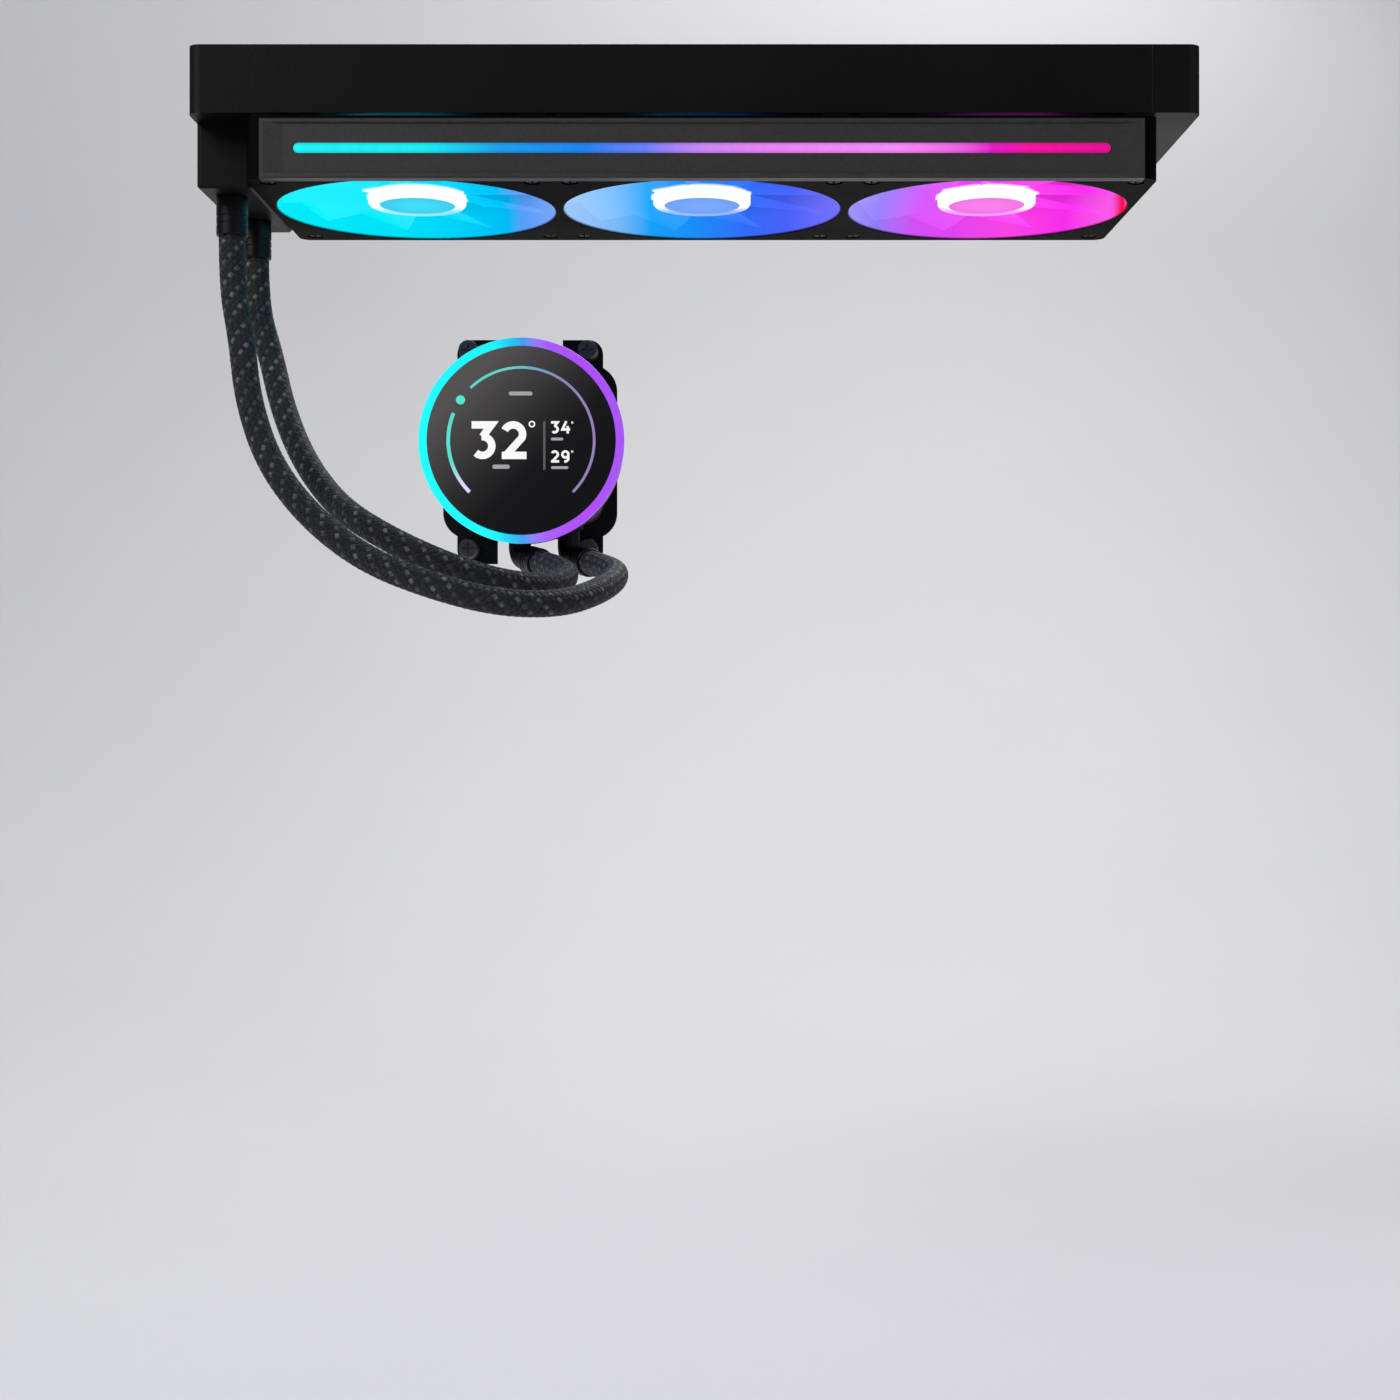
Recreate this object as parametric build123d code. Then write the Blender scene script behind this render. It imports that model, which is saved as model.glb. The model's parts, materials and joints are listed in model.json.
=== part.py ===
from build123d import *
import math
import os

# Closed-loop liquid cooler: a three-fan radiator with its fan unit, two braided hoses and a
# pump head with a round display.  Millimetres.  +X runs along the radiator, away from its
# hose ports, +Y points from the light bar towards the processor, +Z is up.  The origin is
# the centre of the radiator's upper face, where the case screws enter.

# --- radiator ---
HALF_WIDTH = 60.0            # half of the radiator's and the fan unit's width
RAD_DEPTH = 27.0
CORE_HALF_LENGTH = 177.5     # from the centre to where the end tanks begin
LEFT_TANK_END = -203.0
RIGHT_TANK_END = 197.0
TANK_WALL = 1.5
TANK_CORNER = 5.0
BAFFLE = 1.5                 # thickness of the wall between the left tank's two chambers
SHEET = 1.2                  # side plate thickness
FLANGE_REACH = 49.0          # |Y| of the side plate flanges' inner edge
HEADER = 1.5                 # header plate thickness
TUBE_COUNT = 12
TUBE_PITCH = 9.2
TUBE_THICKNESS = 2.0
TUBE_WALL = 0.4
TUBE_FLAT = 0.05             # flat left between the two rounds of a tube's edge
TUBE_OVERHANG = 1.0          # how far the tubes reach past the header plates
CORE_LOW = -22.5
CORE_HIGH = -4.5
FIN_THICKNESS = 0.25
FIN_LEG_PITCH = 2.5          # distance from one fold of the fin strip to the next
FIN_CREST = 0.7              # flat length at each fold
FIN_HALF_LENGTH = 175.0
FILL_PLUG_Y = 30.0
PLUG_HEAD_R = 6.0
PLUG_HEAD_H = 2.0
PLUG_STEM_R = 4.0
PLUG_STEM = 4.0
PLUG_KEY_R = 2.2             # corner radius of its hexagon socket
PLUG_KEY_DEPTH = 1.6

# --- case and fan screws ---
SCREW_X = (-172.5, -67.5, -52.5, 52.5, 67.5, 172.5)
SCREW_Y = 52.5
CASE_HOLE_R = 1.5
FAN_SCREW_HOLE_R = 1.75
FAN_SCREW_R = 1.73
SCREW_HEAD_R = 3.0
SCREW_HEAD_H = 2.4
SCREW_TIP_Z = -24.0
CROSS_LENGTH = 4.0           # each arm of the screws' cross recess, end to end
CROSS_WIDTH = 0.8
CROSS_DEPTH = 1.2

# --- hose ports on the radiator ---
PORT_X = -192.5
PORT_YS = (-26.0, 22.0)
PORT_R = 4.0
BLOCK_LOW = -53.0
BLOCK_X = (-203.0, -181.0)
BLOCK_HALF_Y = 44.0
BLOCK_CORNER = 2.0
BLOCK_EDGE = 0.8
FITTING_SEAT_R = 6.0
FITTING_SEAT_H = 6.0
NECK_R = 3.6
NECK_BORE = 2.6
NECK_GAP = 1.0               # the neck ends this far inside its collar
COLLAR_R = 6.4
COLLAR_LENGTH = 16.0
COLLAR_ROUND = 0.6
COLLAR_GROOVES = (7.7, 10.7)  # places of the grooves along the collar
ELBOW_GROOVES = (3.5, 6.5)
GROOVE_WIDTH = 0.8
GROOVE_DEPTH = 0.4

# --- fan unit ---
FAN_XS = (-120.0, 0.0, 120.0)
FRAME_HALF_LENGTH = 180.0
FRAME_TOP = -28.0
FRAME_LOW = -53.0
FRAME_CORNER = 5.0
DUCT_R = 57.5
DUCT_LIP = 1.2
FRAME_WALL = 2.0
POST_R = 5.0
FAN_HOLE_R = 2.2
COUNTERBORE_R = 3.4
COUNTERBORE_H = 2.8
PAD_SIZE = 12.0
PAD_CORNER = 2.0
PAD_HOLE_R = 2.5
STRUT_COUNT = 4
STRUT_WIDTH = 5.0
STRUT_H = 2.6
STRUT_BOW = (40.0, 5.0)      # the point that bends each strut
MOTOR_BASE_R = 20.0
BEARING_HOLDER_R = 4.5
BEARING_R = 3.0
BEARING_LOW = -45.0
BEARING_TOP = -30.0
BORE_END = -29.0             # upper end of the motor mount's blind bore
BOARD_R = 18.0
BOARD_LOW = -31.8
STATOR_LOW = -43.0
STATOR_HIGH = -36.0
STATOR_CORE_R = 7.0
STATOR_R = 14.5
SHOE_THICKNESS = 2.5
POLE_HALF_WIDTH = 2.0
POLE_COUNT = 4
COIL_X = (7.8, 11.0)
COIL_HALF_WIDTH = 4.2
COIL_OVERHANG = 1.6          # how far a coil stands above and below the stator
LAMP_X = (15.0, 17.5)        # the fan's lamps, measured out from its axis
LAMP_HALF_WIDTH = 1.4
LAMP_H = 0.8
LAMP_COUNT = 8

# --- fan rotor ---
BLADE_COUNT = 9
BLADE_TIP_R = 56.2
BLADE_THICKNESS = 1.5
# each: place along the blade, span round the hub, rise, camber, sweep, mid height
BLADE_SECTIONS = (
    (15.0, 15.5, 8.6, 0.5, 0.0, -42.9),
    (37.0, 31.0, 9.4, 1.2, 2.0, -43.9),
    (60.0, 50.0, 9.8, 1.8, 6.0, -44.6),
)
HUB_R = 20.5
HUB_BORE_R = 18.5
HUB_TOP = -33.0
HUB_FLOOR = -48.0            # inner side of the hub's front wall
HUB_SHOULDER = -49.9         # where the sloped edge of the hub begins
HUB_FACE = -50.8
HUB_FACE_R = 19.8
HUB_BOSS_R = 3.2
HUB_BOSS_TOP = -46.0
CAP_R = 16.0
CAP_SEAT = -49.6
CAP_FACE = -50.6
CAP_ROUND = 0.4
MAGNET_BORE_R = 16.0
MAGNET_TOP = -34.0
SHAFT_R = 1.5
BEARING_GAP = 0.05
FIT_GAP = 0.05               # between a piece and the seat that it is pressed into

# --- light bar on the fan unit's side ---
BAR_HALF_LENGTH = 173.5
BAR_FRONT = -66.0
BAR_TOP = -30.5
BAR_LOW = -54.0
BAR_EDGE = 0.6               # chamfer round its front
BAR_RIM = 1.6
BAR_RECESS = 0.8
BAR_END_SLOPE = 8.0
BAR_SKIN = 1.5
STRIP_LENGTH = 320.0
STRIP_HEIGHT = 3.9
STRIP_Z = -42.2
STRIP_SET_BACK = 0.3         # the strip's front stands this far behind the bar's rim
STRIP_ROUND = 0.25
STRIP_LIP = 3.0              # how much longer and higher the strip's lip is than the strip
STRIP_LIP_DEPTH = 0.6
STRIP_LEDS = 24
LED_BOARD_FRONT = -61.2
LED_BOARD_HALF_LENGTH = 161.0
LED_BOARD_HALF_HEIGHT = 4.0
LED_HALF_LENGTH = 1.75
LED_HALF_HEIGHT = 1.4
LED_H = 0.9

# --- cable sockets ---
FAN_SOCKET_X = (150.0, 164.0)
FAN_SOCKET_Z = (-45.0, -38.0)
FAN_SOCKET_DEPTH = 5.0
SOCKET_WALL = 1.2
FAN_PIN_XS = (153.0, 155.7, 158.3, 161.0)
PIN_HALF = 0.3
PIN_LENGTH = 3.0
PUMP_SOCKET_HALF_X = 8.0
PUMP_SOCKET_Y = (62.0, 68.0)
PUMP_SOCKET_H = 4.0
PUMP_SOCKET_WALL = 1.0
TONGUE_HALF_X = 6.0
TONGUE_H = 2.2

# --- pump head, on an axis along Y ---
PUMP_X = -79.0
PUMP_Z = -146.0
PUMP = Pos(PUMP_X, 0, PUMP_Z)
GLASS_FRONT = 32.0
GLASS_BACK = 33.2
GLASS_R = 41.3
GLASS_EDGE = 0.3
RING_ROUND = 0.8
RING_OUTER = 45.0
RING_INNER = 41.4
SHELL_FRONT = 36.0
SHELL_BACK = 52.0
SHELL_R = 44.0
SHELL_WALL = 1.8
PANEL_R = 38.0
MASK_R = 41.2                # black border of the display, in front of the ring's lamps
MASK_BACK = 33.7
RING_LED_X = (38.8, 40.8)
RING_LED_Y = (34.0, 35.8)
RING_LED_HALF = 1.2
RING_LEDS = 24
SHELL_SKIN = 1.5             # thickness of the shell's front
RIBBON_SLOT_Z = (-30.0, -27.0)
RIBBON_HALF_WIDTH = 10.0
PUMP_BOARD_Y = (38.0, 39.4)
PUMP_BOARD_R = 40.0
PUMP_STATOR_Y = (42.0, 50.0)
PUMP_STATOR_R = 20.0
PUMP_YOKE_BORE = 16.5
PUMP_POLES = 6
PUMP_POLE_HALF = 1.7
PUMP_COIL_X = (10.4, 15.4)
PUMP_COIL_HALF = 3.4
PUMP_COIL_OVERHANG = 1.1
BODY_SIDE = 68.0
BODY_CORNER = 10.0
FRONT_FLANGE_BACK = 55.0
BODY_BACK = 84.0
BASE_SIDE = 74.0
BASE_BACK = 90.0
PLATE_SIDE = 60.0
PLATE_BACK = 94.0
PLATE_SCREW = 27.3
PLATE_CORNER = 4.0
CHAMBER_SIDE = 46.0
CHAMBER_CORNER = 8.0
GASKET_WIDTH = 1.3
GASKET_DEPTH = 1.0
PLATE_FIN_PITCH = 1.2
PLATE_FIN_COUNT = 23
PLATE_FIN_HALF = 0.25        # half of a fin's thickness
PLATE_FIN_DEPTH = 3.0
PLATE_FIN_REACH = 13.0       # half of a fin's length
IMPELLER_CHAMBER_R = 14.0
IMPELLER_CHAMBER_FRONT = 54.0
IMPELLER_CHAMBER_BACK = 66.0
INTAKE_R = 5.0
CAN_R = 8.5
CAN_BORE = 7.6
CAN_FRONT = 40.0
CAN_WALL = 1.2
ROTOR_R = 7.0
ROTOR_Y = (43.0, 57.0)
DISC_R = 12.0
DISC_BACK = 58.4
IMPELLER_HUB_R = 3.0
IMPELLER_BACK = 63.5
VANE_X = (2.5, 11.5)
VANE_BACK = 63.0
VANE_HALF = 0.6
VANE_COUNT = 6
PIN_R = 1.0                  # the ceramic pin that the impeller turns on
PIN_BACK = 65.0
PLATE_SCREW_R = 1.2
PLATE_SCREW_HEAD_R = 2.2
PLATE_SCREW_HEAD = 1.6       # depth of the sunk seat for its head
PLATE_SCREW_SINK = 0.2
PLATE_CROSS = (1.3, 0.3, 0.8)   # half length, half width and depth of its cross recess
ELBOW_Y = 62.0
ELBOW_XS = (19.0, -3.0)      # port places measured from the pump's axis
BRACKET_FRONT = 82.0
BRACKET_SIDE = 80.0
BRACKET_CORNER = 12.0
EAR_MARGIN = 13.0            # the ears reach half of this past the screws
EAR_GAP = 30.0               # free width between two ears
BRACKET_GAP = 0.4            # all round the pump block, both sides together
SCREW_CLEARANCE_R = 2.4
SOCKET_X = 27.0              # half of the processor socket's hole spacing along X
SOCKET_Z = 45.0              # half of the processor socket's hole spacing along Z
STUD_R = 1.75
STUD_TIP = 101.0
STUD_SHANK_R = 2.0
KNOB_R = 4.5
KNOB_Y = (68.0, 78.0)
KNOB_FLUTES = 20
FLUTE_R = 0.45
FLUTE_INSET = 1.5            # from each end of the knob
KNOB_SLOT_HALF = (2.6, 0.5)
KNOB_SLOT_DEPTH = 2.0
SPRING_R = 2.9
SPRING_WIRE_R = 0.35
SPRING_PITCH = 1.3
SPRING_LENGTH = 3.2
EDGE = 0.5                   # usual chamfer of small turned pieces

# --- hoses ---
HOSE_D = 11.0
ELBOW_R = 5.0
ELBOW_BORE = 3.2
ELBOW_CORNER_Z = -195.5
ELBOW_FILLET = 6.0
ELBOW_COLLAR = 12.0
PORT_TOP = -14.0             # where the upright bores of both ports end, from the axis
ELBOW_FLANGE_R = 6.5
ELBOW_FLANGE_H = 3.0
CHANNEL_Z = -16.0            # height of the channel to the cold chamber, from the axis
CHANNEL_R = 2.7
ARC_SHARE = 0.45             # how much of the shorter run each bend of a hose may use
SUPPLY_ROUTE = [
    (-192.5, -26.0, -69.0), (-192.5, -26.0, -90.0), (-187.5, -31.0, -112.0),
    (-184.0, -36.0, -137.0), (-174.5, -42.0, -163.0), (-157.0, -49.5, -185.0),
    (-134.0, -58.0, -202.5), (-108.0, -67.0, -213.0), (-80.0, -66.5, -220.5),
    (-56.0, -53.0, -220.5), (-42.0, -31.0, -214.5), (-35.8, -6.5, -208.2),
    (-37.8, 18.5, -202.9), (-49.2, 40.9, -199.1),
]
RETURN_ROUTE = [
    (-192.5, 22.0, -69.0), (-192.5, 22.0, -89.5), (-186.0, 21.5, -111.0),
    (-179.5, 13.0, -134.0), (-169.0, 1.5, -156.5), (-154.5, -16.5, -174.5),
    (-139.0, -38.5, -186.5), (-115.0, -51.5, -199.5), (-88.0, -48.0, -210.0),
    (-66.5, -31.5, -213.0), (-56.5, -7.2, -208.8), (-59.5, 18.0, -203.0),
    (-71.2, 40.9, -199.1),
]


def block(x0, x1, y0, y1, z0, z1):
    """A box between two corners, given in any order."""
    centre = Pos((x0 + x1) / 2, (y0 + y1) / 2, (z0 + z1) / 2)
    return centre * Box(abs(x1 - x0), abs(y1 - y0), abs(z1 - z0))


def rod(x, y, z0, z1, radius):
    """An upright cylinder."""
    return Pos(x, y, (z0 + z1) / 2) * Cylinder(radius, abs(z1 - z0))


def rod_y(x, z, y0, y1, radius):
    """A cylinder along Y."""
    return Pos(x, (y0 + y1) / 2, z) * Rot(90, 0, 0) * Cylinder(radius, abs(y1 - y0))


def slab_y(width, height, corner, y0, y1):
    """A round-cornered plate across the Y axis."""
    plane = Plane(origin=(0, y0, 0), x_dir=(1, 0, 0), z_dir=(0, 1, 0))
    return extrude(plane * RectangleRounded(width, height, corner), amount=y1 - y0)


def write(name, *shapes):
    """Write one node; several shapes stay separate solids in it."""
    solids = [solid for shape in shapes for solid in shape.solids()]
    shape = solids[0] if len(solids) == 1 else Compound(solids)
    export_step(shape, os.path.join("parts", name + ".step"))


# --- radiator ---

def tube_ys():
    first = -TUBE_PITCH * (TUBE_COUNT - 1) / 2
    return [first + TUBE_PITCH * index for index in range(TUBE_COUNT)]


def flat_tube(y, half_length, shrink=0.0):
    """One flat coolant tube, as a solid bar; shrink gives its bore."""
    thickness = TUBE_THICKNESS - 2 * shrink
    depth = CORE_HIGH - CORE_LOW - 2 * shrink
    plane = Plane(origin=(-half_length, y, (CORE_LOW + CORE_HIGH) / 2),
                  x_dir=(0, 1, 0), z_dir=(1, 0, 0))
    outline = RectangleRounded(thickness, depth, thickness / 2 - TUBE_FLAT)
    return extrude(plane * outline, amount=2 * half_length)


def coolant_tubes():
    half_length = CORE_HALF_LENGTH + TUBE_OVERHANG
    tube = flat_tube(0, half_length) - flat_tube(0, half_length, TUBE_WALL)
    return [Pos(0, y, 0) * tube for y in tube_ys()]


def header_plate(side):
    """The plate that the tube ends pass through."""
    inner = side * (CORE_HALF_LENGTH - HEADER)
    outer = side * CORE_HALF_LENGTH
    plate = block(inner, outer, SHEET - HALF_WIDTH, HALF_WIDTH - SHEET,
                  SHEET - RAD_DEPTH, -SHEET)
    return plate - [flat_tube(y, CORE_HALF_LENGTH + TUBE_OVERHANG) for y in tube_ys()]


def fin_strip():
    """One folded ribbon of fins, as deep as the core, between two tubes."""
    half_height = (TUBE_PITCH - TUBE_THICKNESS - FIN_THICKNESS) / 2
    legs = int(2 * FIN_HALF_LENGTH / FIN_LEG_PITCH)
    centre = []
    for leg in range(legs):
        x = -FIN_HALF_LENGTH + leg * FIN_LEG_PITCH
        height = half_height if leg % 2 else -half_height
        centre.append(Vector(x, height))
        centre.append(Vector(x + FIN_CREST, height))
    left, right = [], []
    for index, point in enumerate(centre):
        before = (point - centre[index - 1]).normalized() if index else None
        after = (centre[index + 1] - point).normalized() if index + 1 < len(centre) else None
        before = before or after
        after = after or before
        normal = Vector(-before.Y - after.Y, before.X + after.X)
        offset = normal * (FIN_THICKNESS / 2 / (1 + before.dot(after)))
        left.append(point + offset)
        right.append(point - offset)
    ribbon = make_face(Polyline(left + right[::-1], close=True))
    return Pos(0, 0, CORE_LOW) * extrude(ribbon, amount=CORE_HIGH - CORE_LOW)


def fin_strips():
    ribbon = fin_strip()
    first = tube_ys()[0] - TUBE_PITCH / 2
    return [Pos(0, first + TUBE_PITCH * index, 0) * ribbon for index in range(TUBE_COUNT + 1)]


def side_plate(side):
    """A C-shaped channel that carries the screw holes in its two flanges."""
    outer = block(-CORE_HALF_LENGTH, CORE_HALF_LENGTH,
                  side * FLANGE_REACH, side * HALF_WIDTH, -RAD_DEPTH, 0)
    hollow = block(-CORE_HALF_LENGTH, CORE_HALF_LENGTH,
                   side * FLANGE_REACH, side * (HALF_WIDTH - SHEET), SHEET - RAD_DEPTH, -SHEET)
    upper = [rod(x, side * SCREW_Y, -SHEET, 0, CASE_HOLE_R) for x in SCREW_X]
    lower = [rod(x, side * SCREW_Y, -RAD_DEPTH, SHEET - RAD_DEPTH, FAN_SCREW_HOLE_R)
             for x in SCREW_X]
    return outer - hollow - upper - lower


def end_tank(outer_end):
    """A hollow tank, open towards the header plate."""
    side = math.copysign(1, outer_end)
    inner_end = side * CORE_HALF_LENGTH
    shell = block(inner_end, outer_end, -HALF_WIDTH, HALF_WIDTH, -RAD_DEPTH, 0)
    upright = shell.edges().filter_by(Axis.Z).sort_by(Axis.X)
    shell = fillet(upright[-2:] if side > 0 else upright[:2], TANK_CORNER)
    cavity = block(inner_end, outer_end - side * TANK_WALL, TANK_WALL - HALF_WIDTH,
                   HALF_WIDTH - TANK_WALL, TANK_WALL - RAD_DEPTH, -TANK_WALL)
    upright = cavity.edges().filter_by(Axis.Z).sort_by(Axis.X)
    cavity = fillet(upright[-2:] if side > 0 else upright[:2], TANK_CORNER - TANK_WALL)
    return shell - cavity


def left_tank():
    """The tank with both ports; a baffle keeps the two flows apart."""
    baffle = block(-CORE_HALF_LENGTH, LEFT_TANK_END + TANK_WALL, -BAFFLE / 2, BAFFLE / 2,
                   TANK_WALL - RAD_DEPTH, -TANK_WALL)
    ports = [rod(PORT_X, y, -RAD_DEPTH, TANK_WALL - RAD_DEPTH, PORT_R) for y in PORT_YS]
    return end_tank(LEFT_TANK_END) + baffle - ports


def right_tank():
    tank = end_tank(RIGHT_TANK_END)
    seat = Plane(origin=(RIGHT_TANK_END, FILL_PLUG_Y, -RAD_DEPTH / 2), z_dir=(1, 0, 0))
    return tank - extrude(seat * Circle(PLUG_STEM_R + FIT_GAP), amount=-TANK_WALL)


def fill_plug():
    """Screw plug of the filling hole, with a hexagon socket."""
    seat = Plane(origin=(RIGHT_TANK_END, FILL_PLUG_Y, -RAD_DEPTH / 2), z_dir=(1, 0, 0))
    head = extrude(seat * Circle(PLUG_HEAD_R), amount=PLUG_HEAD_H)
    stem = extrude(seat * Circle(PLUG_STEM_R), amount=-PLUG_STEM)
    key = seat.offset(PLUG_HEAD_H) * RegularPolygon(PLUG_KEY_R, 6)
    socket = extrude(key, amount=-PLUG_KEY_DEPTH)
    return chamfer(head.edges().sort_by(Axis.X)[-1:], EDGE) + stem - socket


def port_block():
    """The block below the left tank that turns its ports down to the hoses."""
    body = block(*BLOCK_X, -BLOCK_HALF_Y, BLOCK_HALF_Y, BLOCK_LOW, -RAD_DEPTH)
    body = fillet(body.edges().filter_by(Axis.Z), BLOCK_CORNER)
    body = chamfer(body.faces().sort_by(Axis.Z)[0].edges(), BLOCK_EDGE)
    for y in PORT_YS:
        body -= rod(PORT_X, y, BLOCK_LOW, -RAD_DEPTH, PORT_R)
        body -= rod(PORT_X, y, BLOCK_LOW, BLOCK_LOW + FITTING_SEAT_H, FITTING_SEAT_R)
    return body


def radiator_fitting(y):
    """The nipple that is screwed into the port block and goes into the hose collar."""
    seat = rod(PORT_X, y, BLOCK_LOW, BLOCK_LOW + FITTING_SEAT_H, FITTING_SEAT_R)
    neck = rod(PORT_X, y, BLOCK_LOW + NECK_GAP - COLLAR_LENGTH, BLOCK_LOW, NECK_R)
    bore = rod(PORT_X, y, BLOCK_LOW - COLLAR_LENGTH, BLOCK_LOW + FITTING_SEAT_H, NECK_BORE)
    return seat + neck - bore


def radiator_collar(y):
    """The crimped sleeve over the hose's end at the radiator."""
    seat = Plane(origin=(PORT_X, y, BLOCK_LOW), z_dir=(0, 0, -1))
    return crimped_sleeve(seat, COLLAR_LENGTH, COLLAR_GROOVES)


def crimped_sleeve(seat, length, groove_places):
    """A round sleeve that starts on a plane, with a groove at each place along it."""
    sleeve = fillet(extrude(seat * Circle(COLLAR_R), amount=length).edges(), COLLAR_ROUND)
    band = Circle(COLLAR_R + GROOVE_DEPTH) - Circle(COLLAR_R - GROOVE_DEPTH)
    for place in groove_places:
        sleeve -= extrude(seat.offset(place) * band, amount=GROOVE_WIDTH)
    return sleeve - extrude(seat * Circle(NECK_R), amount=length)


# --- fan unit ---

def fan_frame():
    """One frame with three ducts; hollow corners, screw posts and a motor mount in each duct."""
    frame = block(-FRAME_HALF_LENGTH, FRAME_HALF_LENGTH, -HALF_WIDTH, HALF_WIDTH,
                  FRAME_LOW, FRAME_TOP)
    frame = fillet(frame.edges().filter_by(Axis.Z), FRAME_CORNER)
    pocket = block(FRAME_WALL - FRAME_HALF_LENGTH, FRAME_HALF_LENGTH - FRAME_WALL,
                   FRAME_WALL - HALF_WIDTH, HALF_WIDTH - FRAME_WALL,
                   FRAME_LOW + COUNTERBORE_H + FRAME_WALL, FRAME_TOP)
    pocket = fillet(pocket.edges().filter_by(Axis.Z), FRAME_CORNER - FRAME_WALL)
    posts = [rod(x, y, FRAME_LOW, FRAME_TOP, POST_R) for x in SCREW_X for y in (-SCREW_Y, SCREW_Y)]
    sleeves = [rod(x, 0, FRAME_LOW, FRAME_TOP, DUCT_R + FRAME_WALL) for x in FAN_XS]
    frame -= pocket - posts - sleeves
    for x in FAN_XS:
        frame -= rod(x, 0, FRAME_LOW, FRAME_TOP, DUCT_R)
        lip = Pos(x, 0, FRAME_LOW + DUCT_LIP / 2) * Cone(DUCT_R + DUCT_LIP, DUCT_R, DUCT_LIP)
        frame -= lip
    for x in SCREW_X:
        for y in (-SCREW_Y, SCREW_Y):
            frame -= rod(x, y, FRAME_LOW, FRAME_TOP, FAN_HOLE_R)
            frame -= rod(x, y, FRAME_LOW, FRAME_LOW + COUNTERBORE_H, COUNTERBORE_R)
    return frame + [Pos(x, 0, 0) * motor_mount() for x in FAN_XS]


def motor_mount():
    """Motor base, bearing holder and the curved struts that carry them, on the outlet side."""
    base_low = FRAME_TOP - STRUT_H
    mount = rod(0, 0, base_low, FRAME_TOP, MOTOR_BASE_R)
    mount += rod(0, 0, BEARING_LOW, base_low, BEARING_HOLDER_R)
    plane = Plane.XY.offset(base_low)
    path = ThreePointArc((MOTOR_BASE_R - 2, 0), STRUT_BOW, (DUCT_R + 1, 0))
    strut = extrude(plane * make_face(offset_outline(path, STRUT_WIDTH / 2)), amount=STRUT_H)
    for index in range(STRUT_COUNT):
        mount += Rot(0, 0, 45 + 360 * index / STRUT_COUNT) * strut
    return mount - rod(0, 0, BEARING_LOW, BORE_END, BEARING_R)


def offset_outline(path, half_width):
    """The closed outline of a band of even width along an arc."""
    start, middle, end = path @ 0, path @ 0.5, path @ 1
    sides = []
    for sign in (1, -1):
        points = []
        for place, point in ((0, start), (0.5, middle), (1, end)):
            tangent = path % place
            points.append(point + Vector(-tangent.Y, tangent.X) * (sign * half_width))
        sides.append(points)
    near, far = sides
    return Wire([
        Edge.make_three_point_arc(*near),
        Edge.make_line(near[-1], far[-1]),
        Edge.make_three_point_arc(*far[::-1]),
        Edge.make_line(far[0], near[0]),
    ])


def fan_pads():
    half = PAD_SIZE / 2
    pads = []
    for x in SCREW_X:
        for y in (-SCREW_Y, SCREW_Y):
            pad = block(x - half, x + half, y - half, y + half, FRAME_TOP, -RAD_DEPTH)
            pad = fillet(pad.edges().filter_by(Axis.Z), PAD_CORNER)
            pads.append(pad - rod(x, y, FRAME_TOP, -RAD_DEPTH, PAD_HOLE_R))
    return pads


def fan_screw():
    """Long screw from below the fan unit into the radiator's lower flange."""
    head_top = FRAME_LOW + COUNTERBORE_H
    head_low = head_top - SCREW_HEAD_H
    head = rod(0, 0, head_low, head_top, SCREW_HEAD_R)
    head = chamfer(head.edges().sort_by(Axis.Z)[:1], EDGE)
    shank = rod(0, 0, head_top, SCREW_TIP_Z, FAN_SCREW_R)
    arm = block(-CROSS_LENGTH / 2, CROSS_LENGTH / 2, -CROSS_WIDTH / 2, CROSS_WIDTH / 2,
                head_low, head_low + CROSS_DEPTH)
    return head + shank - [arm, Rot(0, 0, 90) * arm]


def fan_screws():
    screw = fan_screw()
    return [Pos(x, y, 0) * screw for x in SCREW_X for y in (-SCREW_Y, SCREW_Y)]


def fan_bearing():
    """Sleeve bearing in the middle of the motor."""
    sleeve = rod(0, 0, BEARING_LOW, BEARING_TOP, BEARING_R)
    return sleeve - rod(0, 0, BEARING_LOW, BEARING_TOP, SHAFT_R + BEARING_GAP)


def fan_board():
    """Round circuit board under the motor base."""
    board = rod(0, 0, BOARD_LOW, FRAME_TOP - STRUT_H, BOARD_R)
    return board - rod(0, 0, BOARD_LOW, FRAME_TOP - STRUT_H, BEARING_HOLDER_R + FIT_GAP)


def fan_leds():
    """The ring of lamps on each fan's board, facing the hub."""
    lamp = block(*LAMP_X, -LAMP_HALF_WIDTH, LAMP_HALF_WIDTH, BOARD_LOW - LAMP_H, BOARD_LOW)
    return [Pos(x, 0, 0) * Rot(0, 0, 360 * index / LAMP_COUNT) * lamp
            for x in FAN_XS for index in range(LAMP_COUNT)]


def fan_stator():
    """Laminated star with four poles on the bearing holder."""
    low, high = STATOR_LOW, STATOR_HIGH
    half = POLE_HALF_WIDTH
    shoe_r = STATOR_R - SHOE_THICKNESS
    star = rod(0, 0, low, high, STATOR_CORE_R)
    shoes = rod(0, 0, low, high, STATOR_R) - rod(0, 0, low, high, shoe_r)
    pole = block(STATOR_CORE_R - 1, shoe_r + EDGE, -half, half, low, high)
    gap = block(STATOR_CORE_R + 1, STATOR_R + 1, -half, half, low, high)
    for index in range(POLE_COUNT):
        turn = 360 * index / POLE_COUNT
        star += Rot(0, 0, turn) * pole
        shoes -= Rot(0, 0, turn + 180 / POLE_COUNT) * gap
    return star + shoes - rod(0, 0, low, high, BEARING_HOLDER_R + FIT_GAP)


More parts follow.
